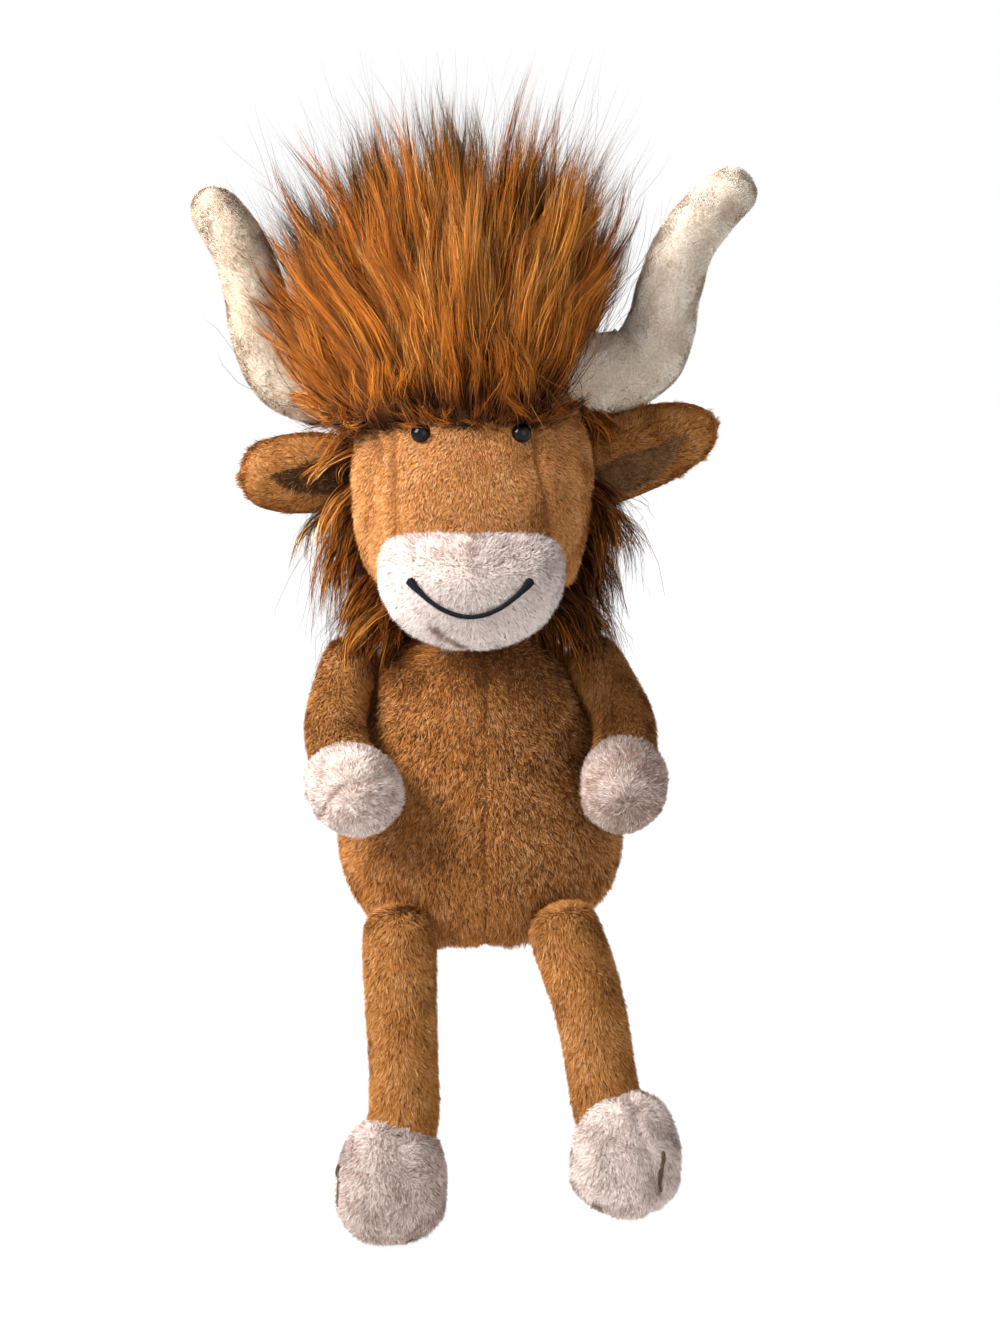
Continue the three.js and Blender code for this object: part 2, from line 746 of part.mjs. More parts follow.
function makeArm(side) {
  const places = armPlaceShares[side.name];
  const offset = ([out, forward, down]) => at(side.sign * out, -forward, -down);
  const elbow = side.shoulderAt.clone().addScaledVector(offset(places.elbow), arm.drop);
  const handAt = side.shoulderAt.clone().addScaledVector(offset(places.hand), arm.drop);
  const pointing = offset(places.point).normalize();
  const heel = handAt.clone().addScaledVector(pointing, -hand.halfLength);
  const form = sweptForm({
    spine: curved([side.shoulderAt, elbow, handAt]),
    stations: smoothStations(armShares, facets.limb.rings),
    halfBreadth: arm.halfBreadth,
    halfDepth: arm.halfDepth,
    across: sideAxis,
    sides: facets.limb.sides,
  });
  const endForm = sweptForm({
    spine: straight(heel, handAt.clone().addScaledVector(pointing, hand.halfLength)),
    stations: roundStations(facets.hoof.rings, head.squareness),
    halfBreadth: hand.halfBreadth,
    halfDepth: hand.halfDepth,
    across: at(0, 0, 1),
    sides: facets.hoof.sides,
  });
  makeLimb({
    name: `${side.name}_arm_cover`,
    endName: `${side.name}_hand_hoof`,
    root: side.shoulderAt,
    rootRadius: arm.rootRadius,
    form,
    endForm,
  });
}

function makeLeg(side) {
  const { lean, footOut, footDown, turn } = legSides[side.name];
  const knee = side.hipAt.clone().add(
    at(
      side.sign * lean * kneeShares.lean,
      -leg.forward * kneeShares.forward,
      -leg.drop * kneeShares.along,
    ),
  );
  const ankle = side.hipAt.clone().add(at(side.sign * lean, -leg.forward, -leg.drop));
  const footAt = ankle.clone().add(at(side.sign * footOut, -leg.forward / 2, -footDown));
  const form = sweptForm({
    spine: curved([side.hipAt, knee, ankle, footAt.clone().lerp(ankle, 1 / 2)]),
    stations: smoothStations(legShares, facets.limb.rings),
    halfBreadth: leg.halfBreadth,
    halfDepth: leg.halfDepth,
    across: sideAxis,
    sides: facets.limb.sides,
  });
  const up = at(0, 0, foot.halfHeight);
  const outward = THREE.MathUtils.degToRad(turn) * side.sign;
  const toes = at(Math.sin(outward), -Math.cos(outward), 0);
  const endForm = sweptForm({
    spine: straight(footAt.clone().sub(up), footAt.clone().add(up)),
    stations: roundStations(facets.hoof.rings, head.squareness),
    halfBreadth: foot.halfLength,
    halfDepth: foot.halfWidth,
    across: toes,
    sides: facets.hoof.sides,
  });
  makeLimb({
    name: `${side.name}_leg_cover`,
    endName: `${side.name}_foot_hoof`,
    root: side.hipAt,
    rootRadius: leg.rootRadius,
    form,
    endForm,
    soleLevel: footAt.z - foot.halfHeight * foot.soleShare,
  });

  const { lowShare, highShare, corners, threadRadius } = cleft;
  const points = Array.from({ length: corners }, (_, i) => {
    const level = lowShare + (highShare - lowShare) * (i / (corners - 1));
    const { point, facing } = skinPoint(endForm, footAt.clone().addScaledVector(up, level), toes);
    return point.addScaledVector(facing, threadRadius + seamGap);
  });
  addPiece(`${side.name}_cleft_thread`, thread(points, threadRadius), threadBlack);
}

// Tail: sewn into the back seam, bent down to the seat and laid to one side
function makeTail() {
  const fall = tail.rootHeight - tail.lie;
  const path = tailPathShares.map(([sideways, back, down]) =>
    tailAt.clone().add(at(tail.sideways * sideways, tail.back * back, -fall * down)),
  );
  const end = path[path.length - 1];
  const form = sweptForm({
    spine: curved(path),
    stations: smoothStations(tailShares, facets.tail.rings),
    halfBreadth: tail.radius,
    halfDepth: tail.radius,
    across: sideAxis,
    sides: facets.tail.sides,
  });
  const tuftForm = sweptForm({
    spine: straight(end, end.clone().add(at(tailTuft.length, 0, 0))),
    stations: smoothStations(tuftShares, facets.tail.rings),
    halfBreadth: tailTuft.radius,
    halfDepth: tail.lie - swingGap,
    across: depthAxis,
    sides: facets.tail.sides,
  });
  const cord = solid(form).add(ball(tailAt, tail.rootRadius));
  addPiece("tail_cover", cord, brownPlush);
  addPiece("tail_tuft", solid(tuftForm).subtract(solid(grown(form, seamGap))), hairPile);
}

makeTorso();
makeHead();
makeHair();
makeMane();
for (const side of sides) {
  makeHorn(side);
  makeEar(side);
  makeArm(side);
  makeLeg(side);
}
makeTail();

export default cow;
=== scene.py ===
# Plush cow: stuffed skins, pile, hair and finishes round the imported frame.
# Metres, +Z up. The cow looks along -Y, and its own left side is +X.
import json
import math

import bpy
import numpy as np
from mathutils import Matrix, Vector
from mathutils.bvhtree import BVHTree
from mathutils.kdtree import KDTree


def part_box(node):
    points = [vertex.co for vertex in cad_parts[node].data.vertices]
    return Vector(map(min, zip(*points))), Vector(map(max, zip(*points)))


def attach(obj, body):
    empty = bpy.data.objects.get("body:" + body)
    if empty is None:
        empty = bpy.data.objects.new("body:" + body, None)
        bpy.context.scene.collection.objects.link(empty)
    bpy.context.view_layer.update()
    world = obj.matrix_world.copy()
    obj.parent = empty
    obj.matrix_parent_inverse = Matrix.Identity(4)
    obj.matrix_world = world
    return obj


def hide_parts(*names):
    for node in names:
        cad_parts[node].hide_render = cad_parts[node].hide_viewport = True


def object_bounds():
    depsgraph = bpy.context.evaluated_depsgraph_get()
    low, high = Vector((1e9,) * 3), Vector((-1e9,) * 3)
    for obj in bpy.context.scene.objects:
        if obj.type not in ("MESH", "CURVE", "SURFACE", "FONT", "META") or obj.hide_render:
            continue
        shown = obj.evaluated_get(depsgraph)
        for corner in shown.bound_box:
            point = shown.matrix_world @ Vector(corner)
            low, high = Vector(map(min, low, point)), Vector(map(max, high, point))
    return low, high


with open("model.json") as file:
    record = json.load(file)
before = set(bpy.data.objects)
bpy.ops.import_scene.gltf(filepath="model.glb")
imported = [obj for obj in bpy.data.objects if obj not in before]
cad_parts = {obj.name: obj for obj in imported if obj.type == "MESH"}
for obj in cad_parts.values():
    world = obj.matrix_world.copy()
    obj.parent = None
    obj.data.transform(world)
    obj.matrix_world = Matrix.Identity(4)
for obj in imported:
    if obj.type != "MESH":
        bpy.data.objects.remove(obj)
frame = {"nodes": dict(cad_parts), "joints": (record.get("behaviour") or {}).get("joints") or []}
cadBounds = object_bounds()
mm = 0.001
print("frame loaded")

up = np.array([0.0, 0.0, 1.0])
down = -up
across = np.array([1.0, 0.0, 0.0])
backward = np.array([0.0, 1.0, 0.0])
sideSigns = {"left": 1, "right": -1}
jointAt = {joint["name"]: np.array(joint["pos_m"]) for joint in frame["joints"]}


# Small helpers for arrays of points
def unit(vectors):
    lengths = np.linalg.norm(vectors, axis=-1, keepdims=True)
    return vectors / np.maximum(lengths, 1e-12)


def smoothStep(values, low, high):
    share = np.clip((values - low) / (high - low), 0, 1)
    return share * share * (3 - 2 * share)


def flattened(vectors, normals):  # the part of each vector that lies along the skin
    return vectors - normals * np.sum(vectors * normals, axis=1, keepdims=True)


def drift(points, size, seed, waves=10):  # a smooth random field, mostly from -1 to 1
    rng = np.random.default_rng(seed)
    total = np.zeros(len(points))
    for _ in range(waves):
        way = unit(rng.normal(size=3))
        length = size * rng.uniform(0.7, 1.9)
        total += np.sin(points @ way * (2 * math.pi / length) + rng.uniform(0, 2 * math.pi))
    return total / 3.2


def driftWay(points, size, seed):
    return np.stack([drift(points, size, seed + k) for k in range(3)], axis=1)


def bothSides(make):
    for name, sign in sideSigns.items():
        make(name, sign)


# Curves and tables, the same kinds as in the CAD source
def curveThrough(corners, count=200):
    corners = np.asarray(corners, float)
    ends = [2 * corners[0] - corners[1], *corners, 2 * corners[-1] - corners[-2]]
    run = []
    for a, b, c, d in zip(ends, ends[1:], ends[2:], ends[3:]):
        gaps = [max(np.linalg.norm(q - p), 1e-9) ** 0.5 for p, q in ((a, b), (b, c), (c, d))]
        leave = ((b - a) / gaps[0] - (c - a) / (gaps[0] + gaps[1]) + (c - b) / gaps[1]) * gaps[1]
        arrive = ((c - b) / gaps[1] - (d - b) / (gaps[1] + gaps[2]) + (d - c) / gaps[2]) * gaps[1]
        t = np.linspace(0, 1, 40, endpoint=False)[:, None]
        run.append(b * (2 * t**3 - 3 * t**2 + 1) + leave * (t**3 - 2 * t**2 + t)
                   + c * (3 * t**2 - 2 * t**3) + arrive * (t**3 - t**2))
    run = np.vstack([*run, corners[-1:]])
    travelled = np.concatenate([[0], np.cumsum(np.linalg.norm(np.diff(run, axis=0), axis=1))])
    even = np.linspace(0, travelled[-1], count)
    return np.stack([np.interp(even, travelled, run[:, k]) for k in range(3)], axis=1)


def smoothShares(table, count):
    table = np.asarray(table, float)
    padded = np.vstack([table[:1], table, table[-1:]])
    rows = []
    for t in np.linspace(0, len(table) - 1, count):
        i = min(int(t), len(table) - 2)
        w = t - i
        a, b, c, d = padded[i : i + 4]
        leave = (c - a) / 2
        arrive = (d - b) / 2
        rows.append((2 * b - 2 * c + leave + arrive) * w**3
                    + (-3 * b + 3 * c - 2 * leave - arrive) * w**2 + leave * w + b)
    return np.clip(rows, 0, None)


def roundShares(count, squareness):
    turn = np.linspace(0, math.pi, count)
    girth = np.maximum(np.sin(turn), 0) ** (2 / squareness)
    return np.stack([(1 - np.cos(turn)) / 2, girth], axis=1)


def power(values, squareness):  # bends a circle's sine or cosine towards a square's
    return np.sign(values) * np.abs(values) ** (2 / squareness)


def ringFaces(rings, sides, capped=False):  # walls between rings of points, with flat ends if capped
    faces = []
    for i in range(rings - 1):
        for k in range(sides):
            n = (k + 1) % sides
            faces.append((i * sides + k, i * sides + n, (i + 1) * sides + n, (i + 1) * sides + k))
    if capped:
        faces += [tuple(range(sides))[::-1], tuple(range((rings - 1) * sides, rings * sides))]
    return faces


# A closed skin swept along a spine; shape may change the points of a ring before they are placed
def sweptSkin(spine, shares, halfBreadth, halfDepth, sideWay, sides=64, squareness=2, inset=0, shape=None):
    spine = np.asarray(spine, float)
    spine = np.linspace(spine[0], spine[1], 200) if len(spine) == 2 else curveThrough(spine)
    places = np.linspace(0, 1, len(spine))
    ways = unit(np.gradient(spine, axis=0))
    turn = np.linspace(0, 2 * math.pi, sides, endpoint=False)
    wide, deep = power(np.cos(turn), squareness), power(np.sin(turn), squareness)
    points = []
    for along, girth in shares:
        centre = np.array([np.interp(along, places, spine[:, k]) for k in range(3)])
        way = unit(np.array([np.interp(along, places, ways[:, k]) for k in range(3)]))
        first = unit(sideWay - way * (sideWay @ way))
        second = np.cross(way, first)
        girth = max(girth, 0.002)
        ringWide, ringDeep = (wide, deep) if shape is None else shape(along, turn, wide, deep)
        ring = centre + np.outer(ringWide * halfBreadth * girth, first)
        points.append(ring + np.outer(ringDeep * halfDepth * girth, second))
    rings = len(points)
    points = np.vstack([*points, points[0].mean(0)[None], points[-1].mean(0)[None]])
    faces = ringFaces(rings, sides)
    last = (rings - 1) * sides
    for k in range(sides):
        n = (k + 1) % sides
        faces.append((rings * sides, n, k))
        faces.append((rings * sides + 1, last + k, last + n))
    skin = {"points": points, "faces": faces}
    skin["normals"] = skinNormals(skin)
    if inset:
        moveSkin(skin, -inset * skin["normals"])
    return skin


def trianglesOf(skin):
    found = []
    for face in skin["faces"]:
        found += [(face[0], face[k], face[k + 1]) for k in range(1, len(face) - 1)]
    return np.array(found)


def skinNormals(skin):
    corners = skin["points"][trianglesOf(skin)]
    facing = np.cross(corners[:, 1] - corners[:, 0], corners[:, 2] - corners[:, 0])
    normals = np.zeros_like(skin["points"])
    for k in range(3):
        np.add.at(normals, trianglesOf(skin)[:, k], facing)
    return unit(normals)


def moveSkin(skin, offsets):
    skin["points"] = skin["points"] + offsets
    skin["normals"] = skinNormals(skin)


def ripple(skin, size, seed, depth, points=None):  # soft unevenness, its depth in mm
    field = drift(skin["points"] if points is None else points, size, seed)
    moveSkin(skin, skin["normals"] * (field * depth * mm)[:, None])


def groove(skin, distances, width, depth):  # draws the skin in along a seam
    pull = np.exp(-((distances / width) ** 2)) * depth
    moveSkin(skin, -skin["normals"] * pull[:, None])


def awayFromLine(points, corners):  # each point's distance from the line through the corners, in mm
    line = curveThrough(np.array(corners) * mm, 40)
    return np.min(np.linalg.norm(points[:, None] - line[None], axis=2), axis=1)


def treeOf(skin):
    return BVHTree.FromPolygons([Vector(p) for p in skin["points"]], skin["faces"])


def clearOf(points, skins, margin=0.2 * mm):  # which points lie outside every form
    kept = np.ones(len(points), bool)
    for skin in skins:
        tree = skin["tree"]
        low = skin["points"].min(0) - margin
        high = skin["points"].max(0) + margin
        near = kept & np.all((points > low) & (points < high), axis=1)
        for i in np.flatnonzero(near):
            place, normal, _, _ = tree.find_nearest(points[i])
            kept[i] = (Vector(points[i]) - place).dot(normal) >= margin
    return kept


def showMesh(name, mesh, material):
    mesh.materials.append(material)
    made = bpy.data.objects.new(name, mesh)
    bpy.context.scene.collection.objects.link(made)
    return made


def buildObject(name, points, faces, material, smooth=True):
    mesh = bpy.data.meshes.new(name)
    mesh.from_pydata([tuple(p) for p in points], [], [tuple(int(i) for i in f) for f in faces])
    mesh.validate()
    mesh.polygons.foreach_set("use_smooth", [smooth] * len(mesh.polygons))
    return showMesh(name, mesh, material)


def place(piece, body, slot, nodes=(), fill=None):
    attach(piece, body)
    if nodes:
        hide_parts(*nodes)


def makeCover(name, skin, material, body, slot, nodes, fill=None):
    place(buildObject(name, skin["points"], skin["faces"], material), body, slot, nodes, fill)


# Strands: flat tapered blades. Their map holds each strand's tint across and its length up.
strand = {"endWidth": 0.55, "mapWidth": 0.004, "mapRoot": 0.02, "mapReach": 0.96}


def buildStrands(name, paths, widths, sideways, tints, material, facing):
    count, levels, _ = paths.shape
    taper = np.linspace(1, strand["endWidth"], levels - 1)
    halves = widths[:, None, None] * taper[None, :, None] / 2
    aside = sideways[:, None] * halves
    pairs = np.stack([paths[:, :-1] - aside, paths[:, :-1] + aside], 2)
    points = np.concatenate([pairs.reshape(count, 2 * (levels - 1), 3), paths[:, -1:]], axis=1)
    each = points.shape[1]
    pattern = []
    for k in range(levels - 2):
        a = 2 * k
        pattern += [(a, a + 1, a + 3), (a, a + 3, a + 2)]
    a = 2 * (levels - 2)
    pattern = np.array([*pattern, (a, a + 1, a + 2)])
    triangles = (pattern[None] + (np.arange(count) * each)[:, None, None]).reshape(-1, 3)
    tints = np.clip(tints, 0.01, 0.99)
    mapPoints = np.zeros((count, each, 2))
    for k in range(levels - 1):
        mapPoints[:, 2 * k, 0] = tints - strand["mapWidth"] / 2
        mapPoints[:, 2 * k + 1, 0] = tints + strand["mapWidth"] / 2
        mapPoints[:, 2 * k : 2 * k + 2, 1] = strand["mapRoot"] + strand["mapReach"] * k / (levels - 1)
    mapPoints[:, -1, 0] = tints
    mapPoints[:, -1, 1] = 0.98
    mesh = bpy.data.meshes.new(name)
    mesh.vertices.add(count * each)
    mesh.vertices.foreach_set("co", points.astype(np.float32).ravel())
    mesh.loops.add(triangles.size)
    mesh.loops.foreach_set("vertex_index", triangles.astype(np.int32).ravel())
    mesh.polygons.add(len(triangles))
    mesh.polygons.foreach_set("loop_start", np.arange(0, triangles.size, 3, dtype=np.int32))
    mesh.update(calc_edges=True)
    mapLayer = mesh.uv_layers.new(name="OFBake")
    flat = mapPoints.reshape(-1, 2)[triangles.ravel()]
    mapLayer.data.foreach_set("uv", flat.astype(np.float32).ravel())
    mesh.polygons.foreach_set("use_smooth", [True] * len(mesh.polygons))
    mesh.normals_split_custom_set_from_vertices(np.repeat(facing, each, axis=0).astype(np.float32))
    return showMesh(name, mesh, material)


def sampleSkin(skin, count, rng, wanted=None):
    triangles = trianglesOf(skin)
    corners = skin["points"][triangles]
    areas = np.linalg.norm(np.cross(corners[:, 1] - corners[:, 0], corners[:, 2] - corners[:, 0]), axis=1)
    if wanted is not None:
        areas = areas * wanted(corners.mean(1))
    pick = np.searchsorted(np.cumsum(areas), rng.random(count) * areas.sum())
    a, b = rng.random((2, count, 1))
    a, b = np.where(a + b > 1, 1 - a, a), np.where(a + b > 1, 1 - b, b)
    weights = np.concatenate([1 - a - b, a, b], axis=1)
    points = np.einsum("nk,nkd->nd", weights, corners[pick])
    normals = unit(np.einsum("nk,nkd->nd", weights, skin["normals"][triangles[pick]]))
    return points, normals


def nearestOf(points, centres):
    tree = KDTree(len(centres))
    for i, centre in enumerate(centres):
        tree.insert(centre, i)
    tree.balance()
    return np.array([tree.find(p)[1] for p in points])


def combed(way, size, seed, sway=1):  # one way for a whole pile, with slow sways
    return lambda roots: way + driftWay(roots, size, seed) * sway


# How a pile grows: what is usual, and what a piece has of its own; length and width in mm
def pileOf(length, width, **own):
    usual = {"levels": 3, "uneven": 0.3, "bend": 0.3, "clump": 0.5, "clumpSize": 12, "clumpTint": 0.07,
             "swirl": 1, "twist": 0.35, "sunk": 0.3 * mm, "stretch": (1, 1, 1), "evenLight": 0.7}
    return {**usual, **own, "length": length * mm, "width": width * mm}


# Pile planted on a skin: it leans along the comb, bends over and gathers in clumps
def plantPile(name, skin, pile, comb, tint, material, seed, skins=(), wanted=None, trim=None):
    rng = np.random.default_rng(seed)
    roots, normals = sampleSkin(skin, pile["count"], rng, wanted)
    if skins:
        kept = clearOf(roots, skins)
        roots, normals = roots[kept], normals[kept]
    count, levels, evenLight = len(roots), pile["levels"], pile["evenLight"]

    def pathsFrom(starts, facing, scatter, lengths):
        way = unit(flattened(comb(starts), facing) + 1e-9)
        lean = pile["lean"]
        heading = unit(facing * (1 - lean) + way * lean + scatter * pile["scatter"])
        steps = [starts - facing * pile["sunk"]]
        for k in range(levels - 1):
            steps.append(steps[-1] + heading * (lengths / (levels - 1))[:, None])
            heading = unit(heading + way * pile["bend"] + scatter * pile["scatter"] * 0.3)
        return np.stack(steps, axis=1)

    lengths = pile["length"] * rng.uniform(1 - pile["uneven"], 1 + pile["uneven"], count)
    if trim is not None:
        lengths = lengths * trim(roots)
    paths = pathsFrom(roots, normals, rng.normal(size=(count, 3)), lengths)
    middles = rng.choice(count, max(int(count / pile["clumpSize"]), 2), replace=False)
    stretched = roots * np.array(pile["stretch"])
    nearest = nearestOf(stretched, stretched[middles])
    swirl = rng.normal(size=(len(middles), 3)) * pile["swirl"]
    reach = pile["length"] * rng.uniform(0.8, 1.2, len(middles))
    guides = pathsFrom(roots[middles], normals[middles], swirl, reach)[nearest]
    pull = pile["clump"] * rng.uniform(0.4, 1.0, count)
    shares = np.linspace(0, 1, levels) ** 1.2
    paths += (guides - paths) * (pull[:, None] * shares[None])[:, :, None]
    heading = unit(paths[:, -1] - paths[:, 0])
    sideways = unit(np.cross(heading, normals) + rng.normal(size=(count, 3)) * pile["twist"])
    widths = pile["width"] * rng.uniform(0.7, 1.3, count)
    blade = unit(np.cross(sideways, heading))
    blade *= np.sign(np.sum(blade * normals, axis=1, keepdims=True) + 1e-9)
    facing = unit(normals * evenLight + blade * (1 - evenLight))
    tints = tint(roots, rng, count) + rng.normal(size=len(middles))[nearest] * pile["clumpTint"]
    return buildStrands(name, paths, widths, sideways, np.clip(tints, 0, 1), material, facing)


# A coat: the pile that shows and a shorter, denser one that hides the cloth
def coat(name, body, slot, skin, pile, comb, tint, material, seed, **rules):
    short = dict(pile, count=pile["under"], length=pile["length"] * 0.7, levels=2, width=pile["width"] * 1.15)
    for label, layer, step in (("pile", pile, 0), ("underpile", short, 300)):
        piece = plantPile(f"{name}_{label}", skin, layer, comb, tint, material, seed + step, **rules)
        place(piece, body, slot)


# How the tint of strands varies: soft patches, a little of its own, dark or pale flecks, and where given,
# painted shade along seams, partings and creases
def patchy(size, patches, own, darkFlecks, paleFlecks, seed, middle=0.5, shade=None):
    def tint(points, rng, count):
        value = middle + drift(points, size, seed) * patches + rng.normal(size=count) * own
        fleck = rng.random(count)
        value = np.where(fleck < darkFlecks, rng.uniform(0, 0.2, count), value)
        value = np.where(fleck > 1 - paleFlecks, rng.uniform(0.85, 1, count), value)
        return value if shade is None else value + shade(points)

    return tint


def dip(distances, width, depth):  # a value that falls near a line
    return -depth * np.exp(-((distances / width) ** 2))


# Shader node groups and materials
def linear(red, green, blue):
    def one(value):
        share = value / 255
        return share / 12.92 if share <= 0.04045 else ((share + 0.055) / 1.055) ** 2.4

    return (one(red), one(green), one(blue), 1)


def newGroup(name, inputs, outputs):
    group = bpy.data.node_groups.new(name, "ShaderNodeTree")
    for label, kind, value in inputs:
        socket = group.interface.new_socket(label, in_out="INPUT", socket_type=kind)
        socket.default_value = value
    for label, kind in outputs:
        group.interface.new_socket(label, in_out="OUTPUT", socket_type=kind)
    return group, group.nodes.new("NodeGroupInput"), group.nodes.new("NodeGroupOutput")


def wire(tree, *links):
    for source, target in links:
        tree.links.new(source, target)


def mixColours(tree, blend="MIX"):
    node = tree.nodes.new("ShaderNodeMix")
    node.data_type = "RGBA"
    node.blend_type = blend
    return node, node.inputs["Factor"], node.inputs[6], node.inputs[7], node.outputs[2]


def mapRange(tree, source, low, high, newLow=0.0, newHigh=1.0):
    node = tree.nodes.new("ShaderNodeMapRange")
    node.interpolation_type = "SMOOTHSTEP"
    for label, value in (("From Min", low), ("From Max", high), ("To Min", newLow), ("To Max", newHigh)):
        node.inputs[label].default_value = value
    tree.links.new(source, node.inputs["Value"])
    return node.outputs["Result"]


# A strand's colour: its tint picks between three tones, painted darker towards the root as painted shade deep
# in the pile, and changed at the end
def makeStrandColour():
    white = (1, 1, 1, 1)
    tones = [(label, "NodeSocketColor", white) for label in ("Dark", "Middle", "Light", "RootShade", "End")]
    group, start, end = newGroup(
        "strandColour", [("Map", "NodeSocketVector", (0, 0, 0)), *tones], [("Color", "NodeSocketColor")]
    )
    split = group.nodes.new("ShaderNodeSeparateXYZ")
    tint, along = split.outputs["X"], split.outputs["Y"]
    given = start.outputs
    _, lowFactor, lowA, lowB, lowOut = mixColours(group)
    _, highFactor, highA, highB, highOut = mixColours(group)
    _, shadeFactor, shadeA, shadeB, shadeOut = mixColours(group)
    _, factor, first, second, out = mixColours(group, "MULTIPLY")
    _, endFactor, endA, endB, endOut = mixColours(group, "MULTIPLY")
    shadeB.default_value = white
    factor.default_value = 1
    wire(
        group, (given["Map"], split.inputs[0]),
        (mapRange(group, tint, 0.0, 0.5), lowFactor), (given["Dark"], lowA), (given["Middle"], lowB),
        (mapRange(group, tint, 0.5, 1.0), highFactor), (lowOut, highA), (given["Light"], highB),
        (mapRange(group, along, 0.0, 0.8), shadeFactor), (given["RootShade"], shadeA),
        (highOut, first), (shadeOut, second),
        (mapRange(group, along, 0.7, 0.98), endFactor), (out, endA), (given["End"], endB),
        (endOut, end.inputs["Color"]),
    )
    return group


def makeBackingCloth():
    group, start, end = newGroup(
        "backingCloth",
        [("Cloth", "NodeSocketColor", (1, 1, 1, 1)), ("Shadow", "NodeSocketColor", (0, 0, 0, 1)),
         ("Thread Scale", "NodeSocketFloat", 900.0), ("Patch Scale", "NodeSocketFloat", 60.0)],
        [("Color", "NodeSocketColor"), ("Height", "NodeSocketFloat")],
    )
    coordinates = group.nodes.new("ShaderNodeTexCoord")
    threads = group.nodes.new("ShaderNodeTexVoronoi")
    patches = group.nodes.new("ShaderNodeTexNoise")
    patches.inputs["Detail"].default_value = 4
    for node, label in ((threads, "Thread Scale"), (patches, "Patch Scale")):
        wire(group, (coordinates.outputs["Object"], node.inputs["Vector"]),
             (start.outputs[label], node.inputs["Scale"]))
    _, factor, first, second, out = mixColours(group)
    _, threadFactor, threadFirst, threadSecond, threadOut = mixColours(group, "MULTIPLY")
    threadFactor.default_value = 0.5
    away = threads.outputs["Distance"]
    wire(
        group, (mapRange(group, patches.outputs["Fac"], 0.3, 0.7), factor),
        (start.outputs["Shadow"], first), (start.outputs["Cloth"], second),
        (out, threadFirst), (mapRange(group, away, 0.0, 0.6, 1.0, 0.6), threadSecond),
        (threadOut, end.inputs["Color"]), (away, end.inputs["Height"]),
    )
    return group


strandColour = makeStrandColour()
backingCloth = makeBackingCloth()


def newMaterial(name, roughness, specular, sheen=0.0):
    material = bpy.data.materials.new(name)
    material.use_nodes = True
    shader = material.node_tree.nodes["Principled BSDF"]
    for label, value in (("Roughness", roughness), ("Specular IOR Level", specular), ("Sheen Weight", sheen),
                         ("Sheen Roughness", 0.5)):
        shader.inputs[label].default_value = value
    return material, material.node_tree, shader


def groupIn(tree, group):
    node = tree.nodes.new("ShaderNodeGroup")
    node.node_tree = group
    return node


# root is the colour a strand is multiplied by towards its root: painted shade deep in the pile
def pileMaterial(name, tones, root, end=(255, 255, 255), roughness=0.9, specular=0.06, sheen=0.0):
    material, tree, shader = newMaterial(name, roughness, specular, sheen)
    strandMap = tree.nodes.new("ShaderNodeUVMap")
    strandMap.uv_map = "OFBake"
    colour = groupIn(tree, strandColour)
    for label, value in zip(("Dark", "Middle", "Light", "RootShade", "End"), (*tones, root, end)):
        colour.inputs[label].default_value = linear(*value)
    wire(tree, (strandMap.outputs["UV"], colour.inputs["Map"]),
         (colour.outputs["Color"], shader.inputs["Base Color"]))
    return material


def clothMaterial(name, cloth, shadow, threadScale=900, patchScale=60, roughness=0.95, bump=0.3):
    material, tree, shader = newMaterial(name, roughness, 0.15, 0.1)
    colour = groupIn(tree, backingCloth)
    for label, value in (("Cloth", linear(*cloth)), ("Shadow", linear(*shadow)),
                         ("Thread Scale", threadScale), ("Patch Scale", patchScale)):
        colour.inputs[label].default_value = value
    relief = tree.nodes.new("ShaderNodeBump")
    relief.inputs["Strength"].default_value = bump
    relief.inputs["Distance"].default_value = 0.3 * mm
    wire(tree, (colour.outputs["Height"], relief.inputs["Height"]),
         (relief.outputs["Normal"], shader.inputs["Normal"]),
         (colour.outputs["Color"], shader.inputs["Base Color"]))
    return material


def twoToneMaterial(name, roughness, specular, scale, dark, light):
    material, tree, shader = newMaterial(name, roughness, specular)
    noise = tree.nodes.new("ShaderNodeTexNoise")
    noise.inputs["Scale"].default_value = scale
    _, factor, first, second, out = mixColours(tree)
    first.default_value, second.default_value = linear(*dark), linear(*light)
    wire(tree, (noise.outputs["Fac"], factor), (out, shader.inputs["Base Color"]))
    return material


brownPile = pileMaterial("brownPile", [(108, 60, 22), (196, 128, 64), (238, 184, 132)], (180, 156, 134))
facePile = pileMaterial("facePile", [(142, 80, 32), (224, 154, 88), (252, 212, 158)], (196, 172, 150))
limbPile = pileMaterial("limbPile", [(108, 64, 26), (184, 122, 62), (230, 178, 124)], (180, 156, 134))
palePile = pileMaterial("palePile", [(160, 132, 118), (238, 223, 215), (254, 249, 246)], (214, 199, 191))
hornPile = pileMaterial("hornPile", [(170, 146, 120), (222, 204, 184), (252, 247, 238)], (224, 212, 200),
                        sheen=0.1)
liningPile = pileMaterial("liningPile", [(62, 40, 22), (124, 88, 56), (176, 134, 94)], (150, 134, 118))
hairTones = [(56, 44, 26), (190, 102, 20), (238, 166, 78)]
hairPile = pileMaterial("hairPile", hairTones, (66, 34, 16), (206, 216, 255), 0.6, 0.12)
hairTipPile = pileMaterial("hairTipPile", hairTones, (66, 34, 16), (140, 188, 255), 0.6, 0.12)
maneTones = [(60, 36, 16), (208, 124, 44), (248, 186, 104)]
manePile = pileMaterial("manePile", maneTones, (150, 116, 86), (176, 152, 124), 0.6, 0.12)
